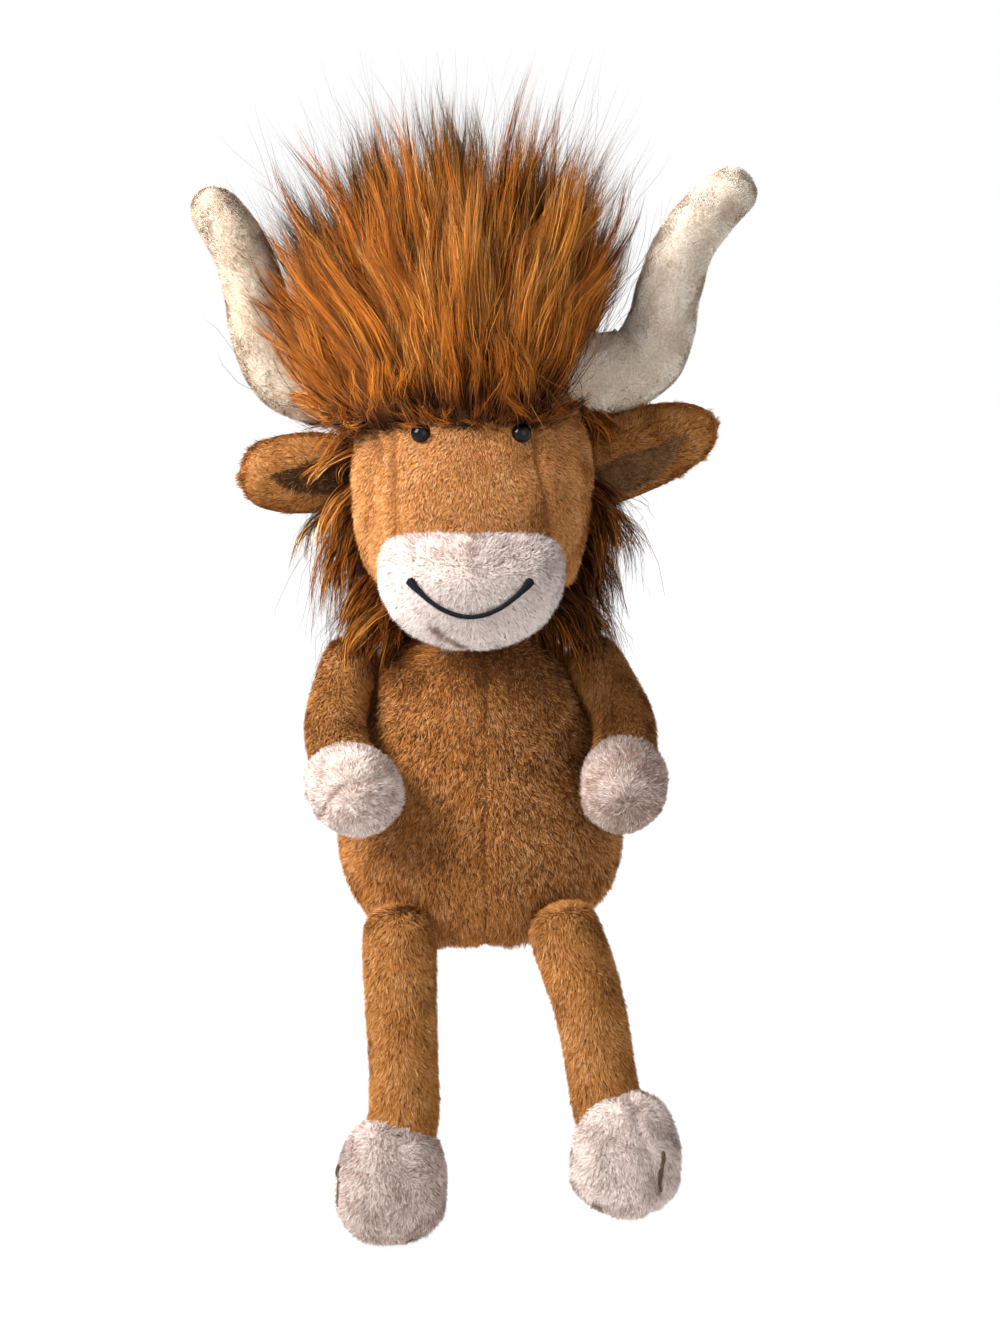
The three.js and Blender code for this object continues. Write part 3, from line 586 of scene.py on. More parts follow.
# Most backing cloths are darker than the pile over them: painted shade deep in the pile, over the cloth's own
# patches and weave
brownCloth = clothMaterial("brownCloth", (112, 72, 38), (84, 52, 26))
faceCloth = clothMaterial("faceCloth", (150, 100, 56), (118, 76, 42))
paleCloth = clothMaterial("paleCloth", (222, 208, 200), (202, 186, 178))
velourCloth = clothMaterial("velourCloth", (224, 208, 188), (200, 178, 154), patchScale=90)
hairCloth = clothMaterial("hairCloth", (104, 58, 20), (62, 32, 10))
fillCloth = clothMaterial("fillFibre", (242, 240, 234), (222, 220, 214), 400, 40, 1.0, 0.6)
print("materials made")


# Torso: a pear with a parted seam down the belly, side seams and a base
torso = {
    "nodes": ["front_left_panel", "front_right_panel", "back_left_panel", "back_right_panel", "base_panel"],
    "shares": [[0, 0.62], [0.05, 0.79], [0.13, 0.92], [0.26, 1], [0.42, 0.97], [0.57, 0.9], [0.72, 0.82],
               [0.86, 0.74], [0.95, 0.6], [1, 0.4]],
    "inset": 1.0 * mm,
    "fuller": (5 * mm, 2.4 * mm),
    "seamOffset": 4 * mm,
    "sideSeam": 2 * mm,
    "pile": pileOf(count=64000, under=160000, length=2.9, width=0.26, lean=0.5, scatter=0.24, uneven=0.35,
                   bend=0.35, clump=0.55, stretch=(1, 1, 0.7)),
}


def boxOf(nodes):
    corners = [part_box(node) for node in nodes]
    low = np.min([np.array(pair[0]) for pair in corners], axis=0)
    high = np.max([np.array(pair[1]) for pair in corners], axis=0)
    return low, high


def makeTorso():
    low, high = boxOf(torso["nodes"])
    skin = sweptSkin([[0, 0, low[2]], [0, 0, high[2]]], smoothShares(torso["shares"], 60), high[0], high[1],
                     across, sides=80, inset=torso["inset"])
    points = skin["points"]
    front = points[:, 1] < torso["sideSeam"]
    seamAway = np.where(front, points[:, 0] - torso["seamOffset"], points[:, 0])
    groove(skin, seamAway, 1.6 * mm, 0.6 * mm)
    groove(skin, points[:, 1] - torso["sideSeam"], 1.6 * mm, 0.9 * mm)
    ripple(skin, 26 * mm, 11, 0.35, points)
    x, z = skin["points"][:, 0], skin["points"][:, 2]
    belly = smoothStep(z, 3 * mm, 16 * mm) * smoothStep(z, 64 * mm, 40 * mm) * torso["fuller"][0]
    chest = smoothStep(z, 40 * mm, 62 * mm) * smoothStep(z, 92 * mm, 76 * mm) * torso["fuller"][1]
    moveSkin(skin, across * ((belly + chest) * smoothStep(x, 8 * mm, 38 * mm))[:, None])

    def awayFromSeam(roots):
        return np.where(roots[:, 1] < 0, roots[:, 0] - torso["seamOffset"], 30 * mm)

    def comb(roots):
        fromSeam = awayFromSeam(roots)
        parting = np.exp(-np.abs(fromSeam) / (3 * mm))
        aside = across * (np.sign(fromSeam) * parting * 0.5)[:, None]
        return down + aside + driftWay(roots, 11 * mm, 21) * 0.4

    def trim(roots):  # shorter along the seam, longer where it hangs over the tops of the legs
        overLegs = smoothStep(-roots[:, 1], 8 * mm, 24 * mm) * smoothStep(roots[:, 2], 26 * mm, 12 * mm)
        aside = smoothStep(np.abs(roots[:, 0]), 6 * mm, 14 * mm)
        return 1 + dip(awayFromSeam(roots), 1.0 * mm, 0.25) + overLegs * aside * 1.2

    makeCover("torso_skin", skin, brownCloth, "torso", "brown_plush", torso["nodes"], fill=0.8)
    even = patchy(8 * mm, 0.07, 0.15, 0.06, 0.04, seed=31)

    def tint(roots, rng, count):  # paler flecks on a darker ground to the right of the seam; the darker ground is painted shade on the side away from the key lamp
        # painted shade along the parting of the belly seam
        own = even(roots, rng, count) + dip(awayFromSeam(roots), 0.8 * mm, 0.12)
        # painted shadow: the top of the torso, under the head, is painted darker
        own -= 0.22 * smoothStep(roots[:, 2], 78 * mm, 96 * mm)
        beside = smoothStep(roots[:, 0], 2 * mm, 16 * mm) * (roots[:, 1] < 0)
        flecked = np.where(rng.random(count) < 0.22, rng.uniform(0.85, 1, count), own - 0.1)
        return np.where(rng.random(count) < beside, flecked, own)

    coat("torso", "torso", "brown_plush", skin, torso["pile"], comb, tint, brownPile, 5, trim=trim)
    return skin


torsoSkin = makeTorso()
print("torso made")


# Head: a rounded box with two face seams, over the neck
headPanels = ["forehead_panel", "left_cheek_panel", "right_cheek_panel", "head_back_panel"]
headLow, headHigh = boxOf(headPanels)
head = {
    "nodes": headPanels,
    "centre": [0, (headLow[1] + headHigh[1]) / 2],
    "height": headHigh[2] - headLow[2],
    "shares": [[0, 0.42], [0.05, 0.6], [0.16, 0.82], [0.32, 0.96], [0.5, 1], [0.68, 0.95], [0.84, 0.78],
               [0.95, 0.48], [1, 0]],
    "squareness": 2.25,
    "inset": 1.0 * mm,
    "faceSeam": 23.5 * mm,
    "faceSeamSlant": 4 * mm,
    "faceSeamLow": 0.24,
    "sideSeam": 4 * mm,
    "pile": pileOf(count=60000, under=170000, length=2.2, width=0.24, lean=0.5, scatter=0.18, clump=0.4,
                   clumpSize=10, swirl=0.8, evenLight=0.75),
}


def headLevel(share):
    return headLow[2] + head["height"] * share


muzzle = {
    "nodes": ["muzzle_cover"],
    "start": 13 * mm,
    "length": 54 * mm,
    "droop": 5 * mm,
    "heightShare": 0.3,
    "halfHeight": 24.6 * mm,
    "aboveShare": 0.43,
    "squareness": (3, 2.2),
    "shares": [[0, 0.86], [0.3, 0.97], [0.52, 1], [0.72, 0.93], [0.88, 0.74], [0.97, 0.42], [1, 0]],
    "inset": 0.9 * mm,
    "parting": 0.5 * mm,
    "fold": [[-9.6, -60.4, 113.6], [-8, -59.7, 110.9], [-4.6, -58, 109], [-1.2, -53.6, 107]],
    "pile": pileOf(count=50000, under=80000, length=2.5, width=0.27, lean=0.45, scatter=0.24, clump=0.55,
                   clumpSize=10, evenLight=0.85, clumpTint=0.05),
}


def faceSeamAway(points):  # how far out from the nearer face seam; the left one slants in above
    slant = smoothStep(points[:, 2], headLevel(0.42), headLevel(0.66)) * (points[:, 0] > 0)
    return np.abs(points[:, 0]) - head["faceSeam"] + head["faceSeamSlant"] * slant


def makeHead():
    x, y = head["centre"]
    skin = sweptSkin([[x, y, headLow[2]], [x, y, headHigh[2]]], smoothShares(head["shares"], 64), headHigh[0],
                     headHigh[1] - y, across, sides=88, squareness=head["squareness"], inset=head["inset"])
    points = skin["points"]
    seamFoot = headLevel(head["faceSeamLow"])
    aboveChin = smoothStep(points[:, 2], seamFoot - 4 * mm, seamFoot)
    front = smoothStep(-points[:, 1], -head["sideSeam"], 0)
    away = np.abs(faceSeamAway(points)) + (1 - aboveChin * front) * 20 * mm
    groove(skin, away, 1.4 * mm, 0.8 * mm)
    groove(skin, points[:, 1] - head["sideSeam"], 1.6 * mm, 0.8 * mm)
    ripple(skin, 22 * mm, 12, 0.3, points)
    makeCover("head_skin", skin, faceCloth, "head", "face_plush", head["nodes"], fill=0.85)
    return skin


def flatTopped(along, turn, wide, deep):  # square corners above, rounder below
    above = np.sin(turn) > 0
    squareness = np.where(above, *muzzle["squareness"])
    height = np.where(above, muzzle["aboveShare"], 1)
    return power(np.cos(turn), squareness), power(np.sin(turn), squareness) * height


def makeMuzzle():
    _, high = boxOf(muzzle["nodes"])
    level = headLevel(muzzle["heightShare"])
    spine = [[0, -muzzle["start"], level], [0, -muzzle["start"] - muzzle["length"], level - muzzle["droop"]]]
    skin = sweptSkin(spine, smoothShares(muzzle["shares"], 56), high[0] - 0.8 * mm, muzzle["halfHeight"],
                     across, sides=80, inset=muzzle["inset"], shape=flatTopped)
    points = skin["points"]
    ripple(skin, 18 * mm, 13, 0.15)
    groove(skin, awayFromLine(points, muzzle["fold"]), 1.5 * mm, 1.1 * mm)
    makeCover("muzzle_skin", skin, paleCloth, "head", "hoof_plush", muzzle["nodes"], fill=0.85)
    return skin


headSkin = makeHead()
muzzleSkin = makeMuzzle()
for skin in (headSkin, muzzleSkin, torsoSkin):
    skin["tree"] = treeOf(skin)
headTree, muzzleTree = headSkin["tree"], muzzleSkin["tree"]


def plantFace():
    def awayFromSeams(roots):
        covered = (roots[:, 1] > 0) | (roots[:, 2] < headLevel(head["faceSeamLow"]))
        return np.where(covered, 30 * mm, faceSeamAway(roots))

    def comb(roots):
        fromSeam = awayFromSeams(roots)
        seam = np.exp(-np.abs(fromSeam) / (2 * mm)) * np.sign(fromSeam) * np.sign(roots[:, 0])
        aside = across * (seam * 0.8 + roots[:, 0] / (34 * mm) * 0.5)[:, None]
        return down * 0.9 + aside + driftWay(roots, 11 * mm, 41) * 0.4

    def trim(roots):
        return 1 + dip(awayFromSeams(roots), 0.9 * mm, 0.4)

    # painted shade along the face seams
    def shade(roots):
        return dip(awayFromSeams(roots), 0.8 * mm, 0.28)

    def wanted(middles):
        return 0.35 + 0.65 * smoothStep(-middles[:, 1], -12 * mm, 4 * mm)

    tint = patchy(10 * mm, 0.06, 0.12, 0.04, 0.07, seed=32, shade=shade)
    coat("head", "head", "face_plush", headSkin, head["pile"], comb, tint, facePile, 6, skins=[muzzleSkin],
         wanted=wanted, trim=trim)

    def muzzleComb(roots):
        aside = across * (np.tanh((roots[:, 0] - muzzle["parting"]) / (3 * mm)) * 0.6)[:, None]
        return down * 0.55 + aside + driftWay(roots, 7 * mm, 42) * 0.2

    # painted shade along the muzzle's top parting and in the chin fold
    def partingShade(roots):
        above = smoothStep(roots[:, 2], headLevel(muzzle["heightShare"]) - 4 * mm, headLevel(0.4))
        parted = dip(roots[:, 0] - muzzle["parting"], 1.0 * mm, 0.3) * above
        return parted + dip(awayFromLine(roots, muzzle["fold"]), 1.5 * mm, 1.3)

    paleTint = patchy(6 * mm, 0.0, 0.09, 0.02, 0.08, seed=33, middle=0.6, shade=partingShade)
    coat("muzzle", "head", "hoof_plush", muzzleSkin, muzzle["pile"], muzzleComb, paleTint, palePile, 7,
         skins=[headSkin])


plantFace()
print("head made")


# Eyes: glossy beads with their backs in the pile
eye = {"radius": 3.1 * mm, "dome": 2.6 * mm, "backShare": 0.6, "proud": 0.7 * mm, "sides": 40, "rings": 16}
eyeShine = twoToneMaterial("eyeBead", 0.14, 0.2, 500, (5, 5, 7), (11, 11, 13))


def makeEye(name):
    low, high = boxOf([f"{name}_eye"])
    washerLow, washerHigh = boxOf([f"{name}_eye_washer"])
    centre, inner = (low + high) / 2, (washerLow + washerHigh) / 2
    facing = unit(centre - inner)
    hit = headTree.ray_cast(Vector(centre + facing * 30 * mm), Vector(-facing))[0]
    seat = np.array(hit) + facing * eye["proud"]
    first = unit(np.cross(facing, up))
    second = np.cross(facing, first)
    points = []
    for i in range(eye["rings"]):
        turn = math.pi * (i + 0.5) / eye["rings"]
        height = math.cos(turn) * (eye["dome"] if turn < math.pi / 2 else eye["dome"] * eye["backShare"])
        for k in range(eye["sides"]):
            angle = 2 * math.pi * k / eye["sides"]
            ring = (first * math.cos(angle) + second * math.sin(angle)) * math.sin(turn) * eye["radius"]
            points.append(seat + facing * height + ring)
    bead = {"points": points, "faces": ringFaces(eye["rings"], eye["sides"], capped=True)}
    makeCover(f"{name}_eye_bead", bead, eyeShine, "head", "eye_bead", [f"{name}_eye"])


for side in sideSigns:
    makeEye(side)


# Sewn thread: a tube whose slanted stitches show as ridges, laid where the casts meet a skin
thread = {"step": 0.16 * mm, "stitch": 0.75 * mm, "ridge": 0.1, "flat": 0.75, "sides": 14, "blob": 4.5 * mm}
blackThread = twoToneMaterial("blackThread", 0.8, 0.1, 900, (10, 11, 14), (28, 30, 36))
cleftThread = twoToneMaterial("cleftThread", 0.8, 0.1, 900, (58, 44, 34), (104, 84, 68))


def sewThread(name, tree, casts, line, material, body, node, blobs=0.0):
    corners, normals = [], []
    for start, way in casts:
        hit, normal, _, _ = tree.ray_cast(start, way)
        corners.append(np.array(hit) + np.array(normal) * line["proud"])
        normals.append(np.array(normal))
    normals = np.array(normals)
    length = np.linalg.norm(np.diff(np.array(corners), axis=0), axis=1).sum()
    count = max(int(length / thread["step"]), 20)
    path = curveThrough(corners, count)
    ways = unit(np.gradient(path, axis=0))
    even = np.linspace(0, 1, count)
    shares = np.linspace(0, 1, len(normals))
    outward = np.stack([np.interp(even, shares, normals[:, k]) for k in range(3)], axis=1)
    sideWays = unit(np.cross(ways, outward))
    upWays = np.cross(sideWays, ways)
    points = []
    for i in range(count):
        end = min(i, count - 1 - i) / (count - 1) * length
        cap = min(1, math.sqrt(max(end, 0.02 * mm) / line["radius"]))
        swell = 1 + blobs * math.exp(-((end / thread["blob"]) ** 2))
        for k in range(thread["sides"]):
            turn = 2 * math.pi * k / thread["sides"]
            phase = 2 * math.pi * (i / (count - 1) * length) / thread["stitch"] + turn
            girth = line["radius"] * cap * swell * (1 + thread["ridge"] * math.sin(phase))
            aside = sideWays[i] * math.cos(turn) + upWays[i] * math.sin(turn) * thread["flat"]
            points.append(path[i] + girth * aside)
    tube = {"points": points, "faces": ringFaces(count, thread["sides"], capped=True)}
    makeCover(name, tube, material, body, "black_thread", [node])


smile = {"halfWidth": 17.8 * mm, "sag": 10.5 * mm, "radius": 0.75 * mm, "proud": 1.5 * mm, "corners": 25,
         "blobs": 0.95}


def makeSmile():
    low, high = boxOf(["mouth_stitching"])
    casts = []
    for share in np.linspace(-1, 1, smile["corners"]):
        height = high[2] - 1 * mm - smile["sag"] * (1 - share * share)
        start = Vector(((low[0] + high[0]) / 2 + share * smile["halfWidth"], -200 * mm, height))
        casts.append((start, Vector(backward)))
    sewThread("smile_stitch", muzzleTree, casts, smile, blackThread, "head", "mouth_stitching",
              smile["blobs"])


makeSmile()
print("face made")


# Horns: swept velour tubes with a short mottled nap
horn = {
    "radius": 14 * mm,
    "rootOut": 21 * mm,
    "rootUp": 84 * mm,
    "rootBack": 2 * mm,
    "girth": [[0, 1], [0.2, 0.98], [0.34, 0.9], [0.5, 0.78], [0.68, 0.72], [0.84, 0.66], [0.94, 0.57],
              [0.985, 0.34], [1, 0]],
    # tone is each horn's middle tint, set per side as painted light and shade: the right horn is painted
    # darker, the left lighter
    "left": {"specks": 0.06, "tone": 0.8, "span": 68 * mm, "rise": 59 * mm,
             "path": [[0, 0], [0.3, -0.05], [0.49, 0.02], [0.58, 0.21], [0.62, 0.42], [0.7, 0.67],
                      [0.85, 0.87], [1, 1]]},
    "right": {"specks": 0.12, "tone": 0.26, "span": 65 * mm, "rise": 55 * mm,
              "path": [[0, -0.04], [0.34, -0.12], [0.58, -0.07], [0.7, 0.15], [0.75, 0.42], [0.81, 0.66],
                       [0.91, 0.85], [1, 1]]},
    "inset": 0.6 * mm,
    "pile": pileOf(count=150000, length=1.0, width=0.24, lean=0.45, scatter=0.25, uneven=0.25, bend=0.2,
                   clump=0.35, clumpSize=10, swirl=0.9, sunk=0.2 * mm, levels=2, clumpTint=0.05,
                   evenLight=0.8),
}


def hornCorners(name, sign):
    shape = horn[name]
    level = headLow[2] + horn["rootUp"]
    return [[sign * (horn["rootOut"] + shape["span"] * out), horn["rootBack"], level + shape["rise"] * rise]
            for out, rise in shape["path"]]


def makeHorn(name, sign):
    skin = sweptSkin(hornCorners(name, sign), smoothShares(horn["girth"], 110), horn["radius"],
                     horn["radius"], backward, sides=48, inset=horn["inset"])
    points = skin["points"]
    ripple(skin, 18 * mm, 14 + sign, 0.25)
    creases = np.clip(drift(points * [1, 1, 2.2], 17 * mm, 15 + sign), 0.6, 1.2) - 0.6
    moveSkin(skin, -skin["normals"] * (creases * 0.3 * mm)[:, None])
    makeCover(f"{name}_horn_skin", skin, velourCloth, "head", "horn_velour", [f"{name}_horn_cover"],
              fill=0.85)

    def tint(roots, rng, count):
        brushed = drift(roots + driftWay(roots, 6 * mm, 47) * 2 * mm, 8 * mm, 45 + sign)
        specks = drift(roots, 3 * mm, 48) * horn[name]["specks"]
        return horn[name]["tone"] + 0.09 * np.tanh(brushed * 1.6) + specks + rng.normal(size=count) * 0.09

    pile = plantPile(f"{name}_horn_nap", skin, horn["pile"], combed(up * 0.4, 8 * mm, 43 + sign), tint,
                     hornPile, 8 + sign, skins=[headSkin])
    place(pile, "head", "horn_velour")


bothSides(makeHorn)
print("horns made")


# Ears: cupped leaves, thick at the rim, with a duller lining in the cup
ear = {
    "halfDepth": 6.4 * mm,
    "seated": 4 * mm,
    "hollow": 0.5,
    # lining is the lining's middle tint: the right ear's lining is painted darker, painted shade in its cup
    "left": {"length": 35 * mm, "halfHeight": 12.3 * mm, "rise": 14 * mm, "forward": 5 * mm, "lift": 2 * mm,
             "low": -0.85, "high": 0.12, "end": 0.8, "lining": 0.62,
             "shares": [[0, 1.1], [0.2, 1.12], [0.45, 1.04], [0.7, 0.86], [0.9, 0.56], [1, 0]]},
    "right": {"length": 31.5 * mm, "halfHeight": 11.8 * mm, "rise": -1 * mm, "forward": 5 * mm, "lift": 0,
              "low": -0.5, "high": 0.3, "end": 0.72, "lining": 0.12,
              "shares": [[0, 0.9], [0.2, 1.02], [0.48, 1.05], [0.72, 0.95], [0.9, 0.68], [1, 0]]},
    "pile": pileOf(count=13000, under=18000, length=3.0, width=0.28, lean=0.6, scatter=0.2),
    "liningPile": pileOf(count=9000, length=2.8, width=0.28, lean=0.6, scatter=0.35, uneven=0.4, clump=0.6,
                         clumpSize=14),
}


def makeEar(name, sign):
    shape = ear[name]
    root = jointAt[f"{name}_ear_flap"] + up * shape["lift"]
    tip = root + np.array([sign * shape["length"], -shape["forward"], shape["rise"]])
    outward = unit(tip - root)

    def crescent(along, turn, wide, deep):
        backSide = deep * sign
        folded = np.where(backSide < 0, -backSide * ear["hollow"] - 0.12, backSide)
        rim = smoothStep(np.abs(deep), 0.0, 0.35)
        bent = np.where(backSide < 0, folded * rim + (1 - rim) * backSide, backSide)
        return wide, bent * sign

    skin = sweptSkin([root - across * sign * ear["seated"], tip], smoothShares(shape["shares"], 50),
                     shape["halfHeight"], ear["halfDepth"], up, shape=crescent)
    moveSkin(skin, skin["normals"] * -0.9 * mm)
    body = f"{name}_ear_flap"
    makeCover(f"{name}_ear_skin", skin, brownCloth, body, "brown_plush", [f"{name}_ear"], fill=0.4)

    comb = combed(outward, 9 * mm, 51, 0.5)
    earUp = unit(up - outward * outward[2])

    def inCup(points):  # the lined part narrows towards the tip
        along = (points - root) @ outward / shape["length"]
        height = (points - root) @ earUp / shape["halfHeight"]
        narrower = 1 - np.clip(along / shape["end"], 0, 1) ** 2.5
        between = (height > shape["low"] * narrower) & (height < shape["high"] * narrower)
        return (along < shape["end"]) & between

    triangles = trianglesOf(skin)
    facing = skin["normals"][triangles].mean(1)
    lined = (facing[:, 1] < -0.35) & inCup(skin["points"][triangles].mean(1))
    cup, outside = (dict(skin, faces=[tuple(t) for t in triangles[own]]) for own in (lined, ~lined))
    tint = patchy(9 * mm, 0.08, 0.13, 0.05, 0.05, seed=34)
    coat(f"{name}_ear", body, "brown_plush", outside, ear["pile"], comb, tint, limbPile, 61,
         skins=[headSkin])
    tint = patchy(5 * mm, 0.08, 0.16, 0.05, 0.06, seed=39, middle=shape["lining"])
    lining = plantPile(f"{name}_ear_lining_pile", cup, ear["liningPile"], comb, tint, liningPile, 62,
                       skins=[headSkin])
    place(lining, body, "ear_lining", [f"{name}_ear_lining"])


bothSides(makeEar)
print("ears made")


# Arms and legs: a plush sleeve over a stuffed core, ending in a paler hoof
arm = {
    "drop": 31 * mm,
    "halfBreadth": 10.6 * mm,
    "halfDepth": 10.4 * mm,
    "rootRadius": 10.8 * mm,
    "shares": [[0, 0], [0.02, 0.5], [0.07, 0.82], [0.2, 0.95], [0.4, 0.93], [0.75, 0.98], [1, 0.95]],
    # each so far out, ahead and down
    "left": {"elbow": [0.27, 0.35, 0.47], "hand": [0.24, 0.94, 1], "point": [-0.1, 0.9, 0.4]},
    "right": {"elbow": [0.12, 0.47, 0.5], "hand": [-0.1, 1.13, 1], "point": [-0.66, 0.72, 0.22]},
    "inset": 1.0 * mm,
    "fillingInset": 3.0 * mm,
    "fillingEnd": [[0.99, 0.9], [1, 0]],
    "pile": pileOf(count=19000, under=36000, length=2.9, width=0.3, lean=0.6, scatter=0.16, bend=0.35,
                   clumpSize=14, swirl=0.8),
}
hand = {
    "patches": (8 * mm, 35),
    # the middle tint per side: the left hand is painted darker, painted shade
    "tone": {"left": 0.1, "right": 0.26},
    "swirl": {"left": [48.3, -54, 56.7], "right": [-38, -60, 60]},
    "crease": {"left": [], "right": [[-47.6, -45.3, 51], [-45.9, -50.3, 53.3], [-39.5, -55.5, 62.1],
                                     [-33.7, -55.5, 64.1], [-27.6, -52.5, 64.9], [-23, -46, 65]]},
    "halfLength": 17 * mm,
    "halfBreadth": 14.5 * mm,
    "halfDepth": 14 * mm,
    "inset": 0.9 * mm,
    "pile": pileOf(count=22000, under=30000, length=2.4, width=0.27, lean=0.5, scatter=0.2, clump=0.6),
}


def creaseRules(skin, corners):  # presses a crease into the skin; its pile is shorter and painted darker, painted shade in the crease
    if not corners:
        return {"shade": None, "trim": None}
    groove(skin, awayFromLine(skin["points"], corners), 1.5 * mm, 1.2 * mm)
    return {"shade": lambda roots: dip(awayFromLine(roots, corners), 0.9 * mm, 0.5),
            "trim": lambda roots: 1 + dip(awayFromLine(roots, corners), 1.0 * mm, 0.4)}


# The sleeve of a limb; its pile stops at the hoof
def dressSleeve(body, sleeve, hoof, pile, comb, seed):
    makeCover(f"{body}_skin", sleeve, brownCloth, body, "brown_plush", [f"{body}_cover"], fill=0.75)
    tint = patchy(10 * mm, 0.07, 0.13, 0.05, 0.07, seed)
    coat(body, body, "brown_plush", sleeve, pile, comb, tint, limbPile, seed, skins=[hoof])


def dressHoof(name, body, side, hoof, sleeve, settings, comb, creased, nodes, seed):
    makeCover(f"{name}_skin", hoof, paleCloth, body, "hoof_plush", nodes, fill=0.8)
    patchSize, patchSeed = settings["patches"]
    tint = patchy(patchSize, 0.08, 0.12, 0.06, 0.05, patchSeed, settings["tone"][side], creased["shade"])
    coat(name, body, "hoof_plush", hoof, settings["pile"], comb, tint, palePile, seed, skins=[sleeve],
         trim=creased["trim"])


def makeArm(name, sign):
    shoulder = jointAt[f"{name}_arm_lift"]
    body = f"{name}_arm"
    ways = np.array([arm[name][label] for label in ("elbow", "hand", "point")]) * [sign, -1, -1]
    elbow, handAt = shoulder + ways[0] * arm["drop"], shoulder + ways[1] * arm["drop"]
    pointing = unit(ways[2])
    spine = [shoulder - unit(elbow - shoulder) * arm["rootRadius"], shoulder, elbow, handAt]
    sleeve = sweptSkin(spine, smoothShares(arm["shares"], 60), arm["halfBreadth"], arm["halfDepth"], across,
                       sides=48, inset=arm["inset"])
    closed = [*arm["shares"][:-1], *arm["fillingEnd"]]
    filling = sweptSkin(spine, smoothShares(closed, 40), arm["halfBreadth"], arm["halfDepth"], across,
                        sides=32, inset=arm["fillingInset"])
    makeCover(f"{name}_arm_filling", filling, fillCloth, body, "polyester_fill", [f"{name}_arm_stuffing"])
    hoof = sweptSkin([handAt - pointing * hand["halfLength"], handAt + pointing * hand["halfLength"]],
                     roundShares(48, head["squareness"]), hand["halfBreadth"], hand["halfDepth"], up,
                     sides=56, inset=hand["inset"])
    sleeve["tree"], hoof["tree"] = treeOf(sleeve), treeOf(hoof)

    comb = combed(unit(handAt - shoulder) * 0.8 + down * 0.3, 12 * mm, 53, 0.35)
    dressSleeve(body, sleeve, hoof, arm["pile"], comb, 70 + sign)
    ripple(hoof, 14 * mm, 16 + sign, 0.4)
    creased = creaseRules(hoof, hand["crease"][name])
    swirlAt = np.array(hand["swirl"][name]) * mm

    def swirl(roots):
        return unit(roots - swirlAt) + driftWay(roots, 9 * mm, 54 + sign) * 0.5

    dressHoof(f"{name}_hand", body, name, hoof, sleeve, hand, swirl, creased, [f"{name}_hand_hoof"],
              75 + sign)


bothSides(makeArm)
print("arms made")

leg = {
    "drop": 55 * mm,
    "forward": 12 * mm,
    "halfBreadth": 12 * mm,
    "halfDepth": 11.6 * mm,
    "rootRadius": 11.8 * mm,
    "shares": [[0, 0], [0.02, 0.55], [0.07, 0.88], [0.18, 1], [0.45, 0.97], [0.7, 0.94], [1, 0.98]],
    "knee": {"along": 0.36, "lean": 0.5, "forward": 0.6},
    "left": {"lean": 13.5 * mm, "footOut": 5 * mm, "footDown": 10 * mm, "turn": 40},
    "right": {"lean": -1.5 * mm, "footOut": 4 * mm, "footDown": 18 * mm, "turn": 78},
    "inset": 1.0 * mm,
    "pile": dict(arm["pile"], count=31000, under=52000, stretch=(1, 1, 0.6)),
}
foot = {
    "patches": (9 * mm, 36),
    # the middle tint per side, painted light and shade: the right foot is painted darker
    "tone": {"left": 0.42, "right": 0.26},
    "crease": {"left": [[48.6, -55, -36.5], [50.6, -62, -40], [52.8, -67.3, -45.1], [55.2, -69.2, -52.7],
                        [57.8, -67, -62.5], [60, -61, -70]],
               "right": []},
    "halfWidth": 16 * mm,
    "halfLength": 17.6 * mm,
    "halfHeight": 20 * mm,
    "shares": [[0, 0], [0.015, 0.5], [0.07, 0.82], [0.18, 0.97], [0.34, 1.02], [0.52, 1], [0.7, 0.9],
               [0.85, 0.74], [0.95, 0.5], [1, 0]],
    "squareness": 2.2,
    "soleShare": 0.76,
    "inset": 0.9 * mm,
    "pile": dict(hand["pile"], count=32000, under=46000),
}
cleft = {"radius": 0.7 * mm, "low": -0.48, "high": 0.24, "corners": 12, "proud": 1.2 * mm}


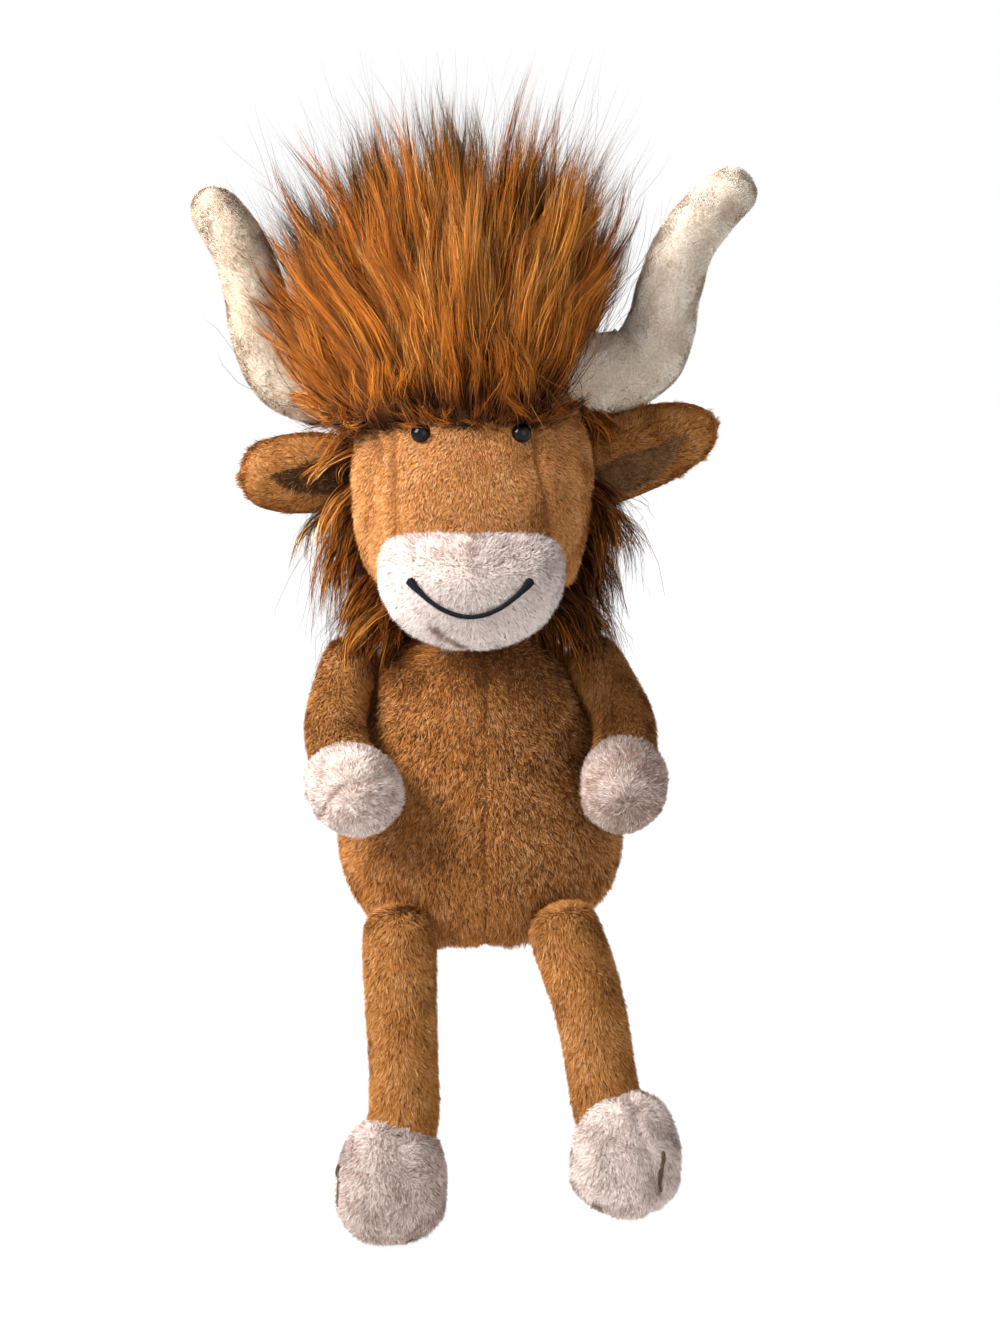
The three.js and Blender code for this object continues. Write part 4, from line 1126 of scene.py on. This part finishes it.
def makeLeg(name, sign):
    hip = jointAt[f"{name}_leg_swing"]
    body = f"{name}_leg"
    shape = leg[name]
    bent = leg["knee"]
    knee = hip + np.array([sign * shape["lean"] * bent["lean"], -leg["forward"] * bent["forward"],
                           -leg["drop"] * bent["along"]])
    ankle = hip + np.array([sign * shape["lean"], -leg["forward"], -leg["drop"]])
    footAt = ankle + np.array([sign * shape["footOut"], -leg["forward"] / 2, -shape["footDown"]])
    start = hip - unit(knee - hip) * leg["rootRadius"]
    sleeve = sweptSkin([start, hip, knee, ankle, (footAt + ankle) / 2], smoothShares(leg["shares"], 70),
                       leg["halfBreadth"], leg["halfDepth"], across, sides=48, inset=leg["inset"])
    outward = math.radians(shape["turn"]) * sign
    toes = np.array([math.sin(outward), -math.cos(outward), 0])
    hoof = sweptSkin([footAt - up * foot["halfHeight"], footAt + up * foot["halfHeight"]],
                     smoothShares(foot["shares"], 56), foot["halfLength"], foot["halfWidth"], toes,
                     squareness=foot["squareness"], inset=foot["inset"])
    soleLevel = footAt[2] - foot["halfHeight"] * foot["soleShare"]
    groove(hoof, hoof["points"][:, 2] - soleLevel, 1.4 * mm, 0.7 * mm)
    relative = hoof["points"] - footAt
    sideDistance = np.abs(relative @ np.cross(toes, up)) + np.where(relative @ toes > 0, 0, 30 * mm)
    cleftFade = smoothStep(relative[:, 2], foot["halfHeight"] * 0.3, 0)
    groove(hoof, sideDistance + (1 - cleftFade) * 10 * mm, 1.8 * mm, 1.0 * mm)
    ripple(hoof, 15 * mm, 18 + sign, 0.4)
    creased = creaseRules(hoof, foot["crease"][name])
    sleeve["tree"], hoof["tree"] = treeOf(sleeve), treeOf(hoof)

    dressSleeve(body, sleeve, hoof, leg["pile"], combed(down, 12 * mm, 55, 0.35), 80 + sign)
    comb = combed(down * 0.8, 10 * mm, 56 + sign, 0.55)
    dressHoof(f"{name}_foot", body, name, hoof, sleeve, foot, comb, creased,
              [f"{name}_foot_hoof", f"{name}_foot_sole"], 85 + sign)
    casts = [(Vector(footAt + up * foot["halfHeight"] * level + toes * 60 * mm), Vector(-toes))
             for level in np.linspace(cleft["low"], cleft["high"], cleft["corners"])]
    sewThread(f"{name}_cleft_stitch", hoof["tree"], casts, cleft, cleftThread, body, f"{name}_cleft_thread")


bothSides(makeLeg)
print("legs made")


# Hair: wavy locks that fan up from the forehead over a low cap, with loose dark hairs beyond them
hair = {
    "base": headLevel(0.78),
    "middle": -2.6 * mm,
    # how far the tips reach from the middle of the hair's foot, by degrees from upright
    "outline": [[-112, 36], [-88, 56], [-65, 74], [-45, 92], [-30, 92], [-14, 102], [-5, 96], [5, 98],
                [14, 99], [25, 93], [36, 90], [44, 80], [52, 54], [60, 30], [72, 22]],
    "layers": [
        {"name": "back", "root": 20, "tip": 22, "locks": 30, "fan": (-52, 46), "reach": (0.88, 1.03)},
        {"name": "back", "root": 9, "tip": 11, "locks": 34, "fan": (-58, 46), "reach": (0.84, 1.04)},
        {"name": "middle", "root": -5, "tip": -3, "locks": 34, "fan": (-70, 44), "reach": (0.76, 1.08)},
        {"name": "middle", "root": -18, "tip": -25, "locks": 32, "fan": (-84, 42), "reach": (0.55, 1.0)},
        {"name": "front", "root": -29, "tip": -39, "locks": 36, "fan": (-100, 40), "reach": (0.34, 0.86)},
        {"name": "front", "root": -31, "tip": -44, "locks": 22, "fan": (-92, 46), "reach": (0.2, 0.46)},
    ],
    "rootHalfWidth": 34 * mm,
    "leanLimit": 48,
    "capShares": [[0, 0.94], [0.3, 1], [0.6, 0.86], [0.85, 0.5], [1, 0]],
    "fringe": {"locks": 90, "lift": (0, 8), "sweep": 10, "end": 0.8},
    "parts": 6,
    "each": {"back": 58, "middle": 58, "front": 64},
    "width": 0.25 * mm,
    "levels": 8,
    "wisps": 1100,
    "strandsInPiece": 15000,
    "limit": [88 * mm, 74 * mm, 290 * mm],
}


def bentPath(root, bulge, tip, t):
    return root * (1 - t) ** 2 + bulge * 2 * t * (1 - t) + tip * t**2


def hairGuides(layer, rng):
    base = hair["base"]
    angles, reaches = np.array(hair["outline"], float).T
    t = np.linspace(0, 1, hair["levels"])[:, None]
    guides = []
    for k in range(layer["locks"]):
        share = (k + 0.5 + rng.normal() * 0.4) / layer["locks"]
        lean = layer["fan"][0] + (layer["fan"][1] - layer["fan"][0]) * share + rng.normal() * 6
        lean = min(lean, hair["leanLimit"])
        reach = np.interp(lean, angles, reaches) * mm * rng.uniform(*layer["reach"])
        turn = math.radians(lean)
        side = np.clip(lean / 72, -1, 1)
        rootX = hair["rootHalfWidth"] * side
        rootY = layer["root"] * mm * (1 - 0.4 * side * side)
        hit = headTree.ray_cast(Vector((rootX, rootY, base + 60 * mm)), Vector(down))[0]
        rootZ = base - 2 * mm if hit is None else max(hit.z - 1 * mm, base - 2 * mm)
        root = np.array([rootX, rootY, rootZ])
        tip = np.array([hair["middle"] + math.sin(turn) * reach, layer["tip"] * mm * (1 - 0.7 * side * side),
                        base + math.cos(turn) * reach]) + rng.normal(size=3) * [2.5 * mm, 3 * mm, 1 * mm]
        outward = np.array([math.sin(turn), 0, math.cos(turn)])
        beside = np.array([math.cos(turn), 0.4 * rng.normal(), -math.sin(turn)])
        bulge = (root + tip) / 2 + np.array([5 * mm * side, layer["root"] * mm * 0.12, -3 * mm * abs(side)])
        bulge = bulge + outward * 2 * mm
        path = bentPath(root, bulge, tip, t)
        wave = rng.uniform(1.5, 4.2) * mm * np.sin(2 * math.pi * (t * rng.uniform(0.8, 1.5) + rng.random()))
        guides.append(path + beside * wave * t**0.7 * min(1, reach / (75 * mm)))
    return np.array(guides)


def fringeGuides(rng):  # short locks along the foot of the hair, over the forehead
    base = hair["base"]
    t = np.linspace(0, 1, hair["levels"])[:, None]
    guides = []
    for share in np.linspace(-1, 1, hair["fringe"]["locks"]):
        share = share + rng.normal() * 0.02
        start = Vector((36 * mm * share, -0.2, base + rng.uniform(-4, 1) * mm))
        hit, normal, _, _ = headTree.ray_cast(start, Vector(backward))
        if hit is None or share > hair["fringe"]["end"]:
            continue
        sweep = smoothStep(-share, 0.5, 1) * hair["fringe"]["sweep"]
        out = np.array(normal)
        root = np.array(hit) - out * 0.5 * mm
        aside = across * (share * 6 - sweep + rng.normal() * 4) * mm
        lift = (rng.uniform(*hair["fringe"]["lift"]) - sweep) * mm
        tip = root + out * rng.uniform(3, 6) * mm + aside + up * lift
        bulge = root + out * 4 * mm + (aside + up * lift) * 0.45
        guides.append(bentPath(root, bulge, tip, t))
    return np.array(guides)


def alongRuns(runs, shares):  # places on each run; past its end it goes straight on
    levels = runs.shape[1]
    position = np.clip(shares * (levels - 1), 0, levels - 1 - 1e-6)
    low = position.astype(int)
    part = (position - low)[:, :, None]
    rows = np.arange(len(runs))[:, None]
    places = runs[rows, low] * (1 - part) + runs[rows, np.minimum(low + 1, levels - 1)] * part
    beyond = np.clip(shares - 1, 0, None)[:, :, None] * (levels - 1)
    return places + beyond * (runs[:, -1:] - runs[:, -2:-1])


def splitLocks(guides, girths, parts, rng):  # each lock into tapered points of its own
    which = np.repeat(np.arange(len(guides)), parts)
    levels = guides.shape[1]
    t = np.linspace(0, 1, levels)[None, :, None]
    count = len(which)
    shares = t[:, :, 0] * rng.uniform(0.7, 1.06, count)[:, None]
    spread = girths[which][:, None, None] * (rng.normal(size=(count, 3)) * [1, 0.9, 0.5])[:, None] * 0.55
    turn = 2 * math.pi * (t * rng.uniform(0.7, 1.4, (count, 1, 1)) + rng.random((count, 1, 1)))
    lengths = np.linalg.norm(guides[:, -1] - guides[:, 0], axis=1)[which][:, None, None]
    wave = np.sin(turn) * t * rng.normal(size=(count, 1, 3)) * 1.3 * mm * np.minimum(1, lengths / (60 * mm))
    return alongRuns(guides[which], shares) + spread * (0.75 + 0.35 * t) + wave, which


# Strands along each guide: gather closes them at the tip; the last argument is painted shade, which side is
# painted darker and by how much (by default the cow's right)
def strandSet(guides, girths, each, rng, tintRange, width, gather, frizz, stretch=(0.6, 1.05), dark=0.0,
              lockOf=None, paintedShade=(-1, 0.16)):
    count = len(guides) * each
    which = np.repeat(np.arange(len(guides)), each)
    levels = guides.shape[1]
    t = np.linspace(0, 1, levels)
    spread = girths[which][:, None] * (rng.normal(size=(count, 3)) * [1, 0.9, 0.6]) * 0.5
    closing = 1 - gather * rng.uniform(0.7, 1.1, count)[:, None] * t[None] ** 1.4
    paths = alongRuns(guides[which], t[None] * rng.uniform(*stretch, count)[:, None])
    paths += spread[:, None] * closing[:, :, None]
    wave = np.cumsum(rng.normal(size=(count, levels, 3)), axis=1) * frizz
    paths += (wave - wave[:, :1]) * t[None, :, None]
    heading = unit(paths[:, -1] - paths[:, 0])
    outward = unit(paths.mean(1) - np.array([0, 0, headLevel(0.7)]))
    sideways = unit(np.cross(heading, outward) + rng.normal(size=(count, 3)) * 0.6)
    facing = unit(np.cross(sideways, heading))
    facing *= np.sign(np.sum(facing * outward, axis=1, keepdims=True) + 1e-9)
    facing = unit(facing * 0.6 + outward * 0.4)
    lockOf = np.arange(len(guides)) if lockOf is None else lockOf
    own = rng.uniform(-1, 1, lockOf.max() + 1)[lockOf] * 0.26 + rng.uniform(-1, 1, len(guides)) * 0.2
    lowTint, highTint = tintRange
    tints = (lowTint + highTint) / 2 + (highTint - lowTint) * (own[which] + 0.14 * rng.normal(size=count))
    # painted shade: strands on one side are painted darker
    side, drop = paintedShade
    tints -= drop * smoothStep(paths[:, 3, 0] * side, 8 * mm, 40 * mm)
    tints = np.where(rng.random(count) < dark, rng.uniform(0, 0.15, count), np.clip(tints, lowTint, highTint))
    return paths, width * rng.uniform(0.6, 1.3, count), sideways, tints, facing


def makeStrandPiece(name, body, sets, material):
    paths, widths, sideways, tints, facing = (np.concatenate(column) for column in zip(*sets))
    limit = np.array(hair["limit"])
    kept = np.all((np.abs(paths[:, :, :2]) < limit[:2]).all(2) & (paths[:, :, 2:3] < limit[2]).all(2), axis=1)
    kept = np.flatnonzero(kept)
    parts = math.ceil(len(kept) / hair["strandsInPiece"])
    # one piece stays below the size that the export would thin out
    for part in range(parts):  # each piece holds at most strandsInPiece strands
        own = kept[part::parts]
        label = f"{name}_{part + 1}" if parts > 1 else name
        piece = buildStrands(label, paths[own], widths[own], sideways[own], tints[own], material, facing[own])
        place(piece, body, "long_hair")


def makeHair():
    rng = np.random.default_rng(91)
    base = hair["base"]
    depth = head["centre"][1]
    cap = sweptSkin([[0, depth, base - 5 * mm], [0, depth + 2 * mm, base + 52 * mm]],
                    smoothShares(hair["capShares"], 40), 32 * mm, 30 * mm, across, sides=56)
    makeCover("hair_cap", cap, hairCloth, "head", "long_hair", ["hair_tuft"], fill=0.4)
    everyGuide = []
    for name, each in hair["each"].items():
        guides = np.concatenate([hairGuides(layer, rng) for layer in hair["layers"] if layer["name"] == name])
        everyGuide.append(guides)
        girths = rng.uniform(5.0, 8.0, len(guides)) * mm
        points, lockOf = splitLocks(guides, girths, hair["parts"], rng)
        thin = rng.uniform(2.4, 4.0, len(points)) * mm
        locks = strandSet(points, thin, each, rng, (0.2, 1.0), hair["width"], 0.9, 0.24 * mm, dark=0.05,
                          lockOf=lockOf)
        loose = strandSet(guides, girths * 2.1, 26, rng, (0.25, 1.0), 0.19 * mm, 0.2, 0.8 * mm, dark=0.2)
        material = hairTipPile if name == "back" else hairPile
        makeStrandPiece(f"hair_{name}", "head", [locks, loose], material)
    fringe = fringeGuides(rng)
    girths = rng.uniform(1.6, 3.2, len(fringe)) * mm
    # the fringe's darker tints are partly the hair's own darker foot and partly painted shadow where the hair
    # meets the face
    wispy = strandSet(fringe, girths, 36, rng, (0.0, 0.55), 0.26 * mm, 0.8, 0.2 * mm, dark=0.2)
    makeStrandPiece("hair_fringe", "head", [wispy], hairPile)
    guides = np.concatenate(everyGuide)
    guides = guides[rng.choice(len(guides), hair["wisps"])]
    wisps = strandSet(guides, np.full(len(guides), 11 * mm), 1, rng, (0.0, 0.14), 0.17 * mm, -0.5, 1.1 * mm,
                      stretch=(0.95, 1.28))
    makeStrandPiece("hair_wisps", "head", [wisps], hairPile)


makeHair()
print("hair made")


# Mane: locks that hang from the back and sides of the head over a soft pad
mane = {
    "halfWidth": 54 * mm,
    "halfDepth": 36 * mm,
    "halfHeight": 44 * mm,
    "back": 12 * mm,
    "heightShare": 0.27,
    "inset": 14 * mm,
    "behind": 6 * mm,
    "girth": (3.5, 6.5),
    "parts": 4,
    # painted shade: the mane on the cow's left, away from the key lamp, is painted darker
    "paintedShade": (1, 0.4),
    # low locks hang and hug the neck, high ones stand out behind the ears, the collar lies on the shoulders
    "low": {"turn": 106, "levels": (0.12, 0.5), "out": (4, 11), "fall": (20, 36), "locks": 110, "each": 28},
    "high": {"turn": 100, "levels": (0.4, 0.86), "out": (9, 18), "fall": (9, 22), "locks": 90, "each": 24},
    "collar": {"turn": 124, "levels": (0.03, 0.16), "out": (4, 18), "fall": (14, 28), "locks": 150,
               "each": 22},
}


def makeMane():
    low, high = boxOf(["neck_mane"])
    middle = headLevel(mane["heightShare"])
    spine = [[0, mane["back"], middle + end * mane["halfHeight"]] for end in (-1, 1)]
    skin = sweptSkin(spine, roundShares(50, head["squareness"]), mane["halfWidth"], mane["halfDepth"], across,
                     squareness=head["squareness"], inset=mane["inset"])
    points = skin["points"]
    points[:, 2] = np.clip(points[:, 2], low[2] + 8 * mm, high[2] - 8 * mm)
    points[:, 1] = np.maximum(points[:, 1], low[1] + 8 * mm)
    makeCover("mane_pad", skin, hairCloth, "head", "long_hair", ["neck_mane"], fill=0.4)
    rng = np.random.default_rng(92)
    for name in ("low", "high", "collar"):
        guides = maneGuides(mane[name], rng)
        girths = rng.uniform(*mane["girth"], len(guides)) * mm
        points, lockOf = splitLocks(guides, girths, mane["parts"], rng)
        thin = rng.uniform(2.0, 3.2, len(points)) * mm
        locks = strandSet(points, thin, mane[name]["each"], rng, (0.15, 1.0), 0.3 * mm, 0.9, 0.3 * mm,
                          dark=0.08, lockOf=lockOf, paintedShade=mane["paintedShade"])
        loose = strandSet(guides, girths * 1.8, 10, rng, (0.0, 0.3), 0.18 * mm, -0.3, 1.0 * mm, (0.95, 1.25))
        makeStrandPiece(f"mane_{name}_locks", "head", [locks, loose], manePile)


def maneGuides(layer, rng):
    t = np.linspace(0, 1, 7)[:, None]
    guides = []
    for k in range(layer["locks"]):
        turn = math.radians(layer["turn"]) * ((k + rng.random()) / layer["locks"] * 2 - 1)
        outward = np.array([math.sin(turn), math.cos(turn), 0])
        centre = np.array([0, head["centre"][1] + 2 * mm, headLevel(rng.uniform(*layer["levels"]))])
        hit = headTree.ray_cast(Vector(centre + outward * 80 * mm), Vector(-outward))[0]
        root = np.array(hit) - outward * 1 * mm
        aside = rng.uniform(*layer["out"]) * mm + mane["behind"] * max(0.0, math.cos(turn)) ** 2
        tip = root + outward * aside + down * rng.uniform(*layer["fall"]) * mm + rng.normal(size=3) * 2 * mm
        bulge = root + outward * aside * 1.1 + down * 6 * mm
        path = bentPath(root, bulge, tip, t)
        wave = rng.uniform(0.8, 2.4) * mm * np.sin(2 * math.pi * (t * rng.uniform(0.8, 1.4) + rng.random()))
        guides.append(path + np.array([math.cos(turn), -math.sin(turn), 0]) * wave * t)
    return np.array(guides)


makeMane()
print("mane made")


# Tail: a thin plush tube that lies behind the body, with a tuft
tail = {
    "radius": 4 * mm,
    "back": 23 * mm,
    "sideways": 8 * mm,
    "lie": 5.2 * mm,
    "path": [[0, 0, 0], [0, 0.5, 0.3], [0.25, 0.85, 0.8], [1, 1, 1]],
    "tuftLength": 30 * mm,
    "inset": 0.8 * mm,
    "pile": pileOf(count=5000, under=6000, length=2.8, width=0.3, lean=0.65, scatter=0.18, bend=0.35,
                   clumpSize=14),
    "tuftStrands": 1100,
    "tuftLevels": 6,
    "tuftGirth": 4.2 * mm,
}


def makeTail():
    start = np.array([0, *jointAt["tail_lift"][1:]])
    fall = start[2] - tail["lie"]
    corners = [start + np.array([tail["sideways"] * aside, tail["back"] * back, -fall * drop])
               for aside, back, drop in tail["path"]]
    skin = sweptSkin(corners, smoothShares([[0, 0.9], [0.5, 0.95], [1, 0.8]], 50), tail["radius"],
                     tail["radius"], up + backward, sides=28, inset=tail["inset"])
    makeCover("tail_skin", skin, brownCloth, "tail", "brown_plush", ["tail_cover"], fill=0.6)
    lengthWay = unit(corners[-1] - corners[-2])

    def comb(roots):
        return lengthWay + down * 0.2

    tint = patchy(9 * mm, 0.08, 0.13, 0.06, 0.04, seed=38)
    coat("tail", "tail", "brown_plush", skin, tail["pile"], comb, tint, limbPile, 93, skins=[torsoSkin])
    rng = np.random.default_rng(94)
    end = corners[-1]
    tip = end + across * tail["tuftLength"]
    t = np.linspace(0, 1, tail["tuftLevels"])[:, None]
    guides = np.array([(end - across * 3 * mm) * (1 - t) + tip * t])
    girths = np.array([tail["tuftGirth"]])
    paths, widths, sideways, tints, facing = strandSet(
        guides, girths, tail["tuftStrands"], rng, (0.2, 1.0), 0.4 * mm, 0.75, 0.25 * mm, (0.7, 1.1))
    bell = np.sin(np.linspace(0.15, 1, tail["tuftLevels"]) * math.pi)[None, :, None]
    paths = paths + (paths - guides[0][None]) * bell * 0.6
    paths[:, :, 2] = np.maximum(paths[:, :, 2], 0.8 * mm)
    tuft = buildStrands("tail_tuft_strands", paths, widths, sideways, tints, hairPile, facing)
    place(tuft, "tail", "long_hair", ["tail_tuft"])


makeTail()
print("tail made")


# Inner CAD nodes keep their shape and get their own finishes
pouchFabric = clothMaterial("pouchFabric", (214, 206, 192), (190, 180, 164), 1200, 50)
washerPlastic = clothMaterial("washerPlastic", (240, 240, 236), (226, 226, 220), 200, 30, 0.45, 0.05)
for name, node in frame["nodes"].items():
    if node.hide_render:
        continue
    finish = washerPlastic if "washer" in name else pouchFabric if "pouch" in name else fillCloth
    for slotNumber in range(len(node.material_slots)):
        node.material_slots[slotNumber].material = finish


# Camera: the photograph's place, from the size of the eyes and how much of the base and soles shows
camera = {"distance": 750 * mm, "elevation": 12, "target": (8.9 * mm, 0, 89 * mm), "focalPixels": 2273,
          "photoHeight": 1333, "sensor": 36}


def aimed(name, data, location, target):
    made = bpy.data.objects.new(name, data)
    made.location = location
    made.rotation_mode = "QUATERNION"
    made.rotation_quaternion = (target - made.location).to_track_quat("-Z", "Y")
    bpy.context.scene.collection.objects.link(made)
    return made


def makeCamera():
    data = bpy.data.cameras.new("photoCamera")
    data.sensor_width = camera["sensor"]
    data.lens = camera["sensor"] * camera["focalPixels"] / camera["photoHeight"]
    data.clip_start = 0.01
    tilt = math.radians(camera["elevation"])
    target = Vector(camera["target"])
    away = Vector((0, -math.cos(tilt), math.sin(tilt))) * camera["distance"]
    bpy.context.scene.camera = aimed("photoCamera", data, target + away, target)


makeCamera()

lamps = {
    "key": {"at": (-0.54, -0.34, 0.58), "size": 0.38, "watts": 14},
    "fill": {"at": (0.5, -0.9, 0.4), "size": 0.8, "watts": 3.2},
    "rim": {"at": (0.1, 0.8, 0.8), "size": 0.7, "watts": 4},
}
for name, lamp in lamps.items():
    data = bpy.data.lights.new(name, "AREA")
    data.size = lamp["size"]
    data.energy = lamp["watts"]
    aimed(name, data, lamp["at"], Vector((0, 0, 0.13)))


# Floor and world: white to the camera, and a plain soft light for the cow
def seenDirectly(tree):
    path = tree.nodes.new("ShaderNodeLightPath")
    outputs = [path.outputs[label] for label in ("Is Camera Ray", "Is Glossy Ray", "Is Transmission Ray")]
    total = outputs[0]
    for other in outputs[1:]:
        node = tree.nodes.new("ShaderNodeMath")
        node.operation = "MAXIMUM"
        wire(tree, (total, node.inputs[0]), (other, node.inputs[1]))
        total = node.outputs[0]
    return total


def mixInto(tree, factor, first, second, output):
    mix = tree.nodes.new("ShaderNodeMixShader")
    wire(tree, (factor, mix.inputs["Fac"]), (first.outputs[0], mix.inputs[1]),
         (second.outputs[0], mix.inputs[2]), (mix.outputs[0], tree.nodes[output].inputs["Surface"]))


def makeWorld():
    world = bpy.data.worlds.new("studio")
    world.use_nodes = True
    tree = world.node_tree
    light = tree.nodes["Background"]
    light.inputs["Color"].default_value = (1, 1, 1, 1)
    light.inputs["Strength"].default_value = 0.24
    white = tree.nodes.new("ShaderNodeBackground")
    white.inputs["Color"].default_value = (1, 1, 1, 1)
    white.inputs["Strength"].default_value = 1
    mixInto(tree, seenDirectly(tree), light, white, "World Output")
    bpy.context.scene.world = world


def makeFloor():
    material, tree, shader = newMaterial("paleFloor", 0.9, 0.5)
    shader.inputs["Base Color"].default_value = (0.86, 0.86, 0.86, 1)
    glow = tree.nodes.new("ShaderNodeEmission")
    glow.inputs["Strength"].default_value = 1.2
    share = tree.nodes.new("ShaderNodeMath")
    share.operation = "MULTIPLY"
    share.inputs[1].default_value = 0.8
    wire(tree, (seenDirectly(tree), share.inputs[0]))
    mixInto(tree, share.outputs[0], shader, glow, "Material Output")
    low, _ = cadBounds
    level = low[2] - 1.5 * mm
    half = 3.0
    corners = [(-half, -half, level), (half, -half, level), (half, half, level), (-half, half, level)]
    floor = buildObject("floor", corners, [(0, 1, 2, 3)], material, smooth=False)


makeWorld()
makeFloor()
bpy.context.scene.view_settings.view_transform = "Standard"
print("camera, lights and floor made")
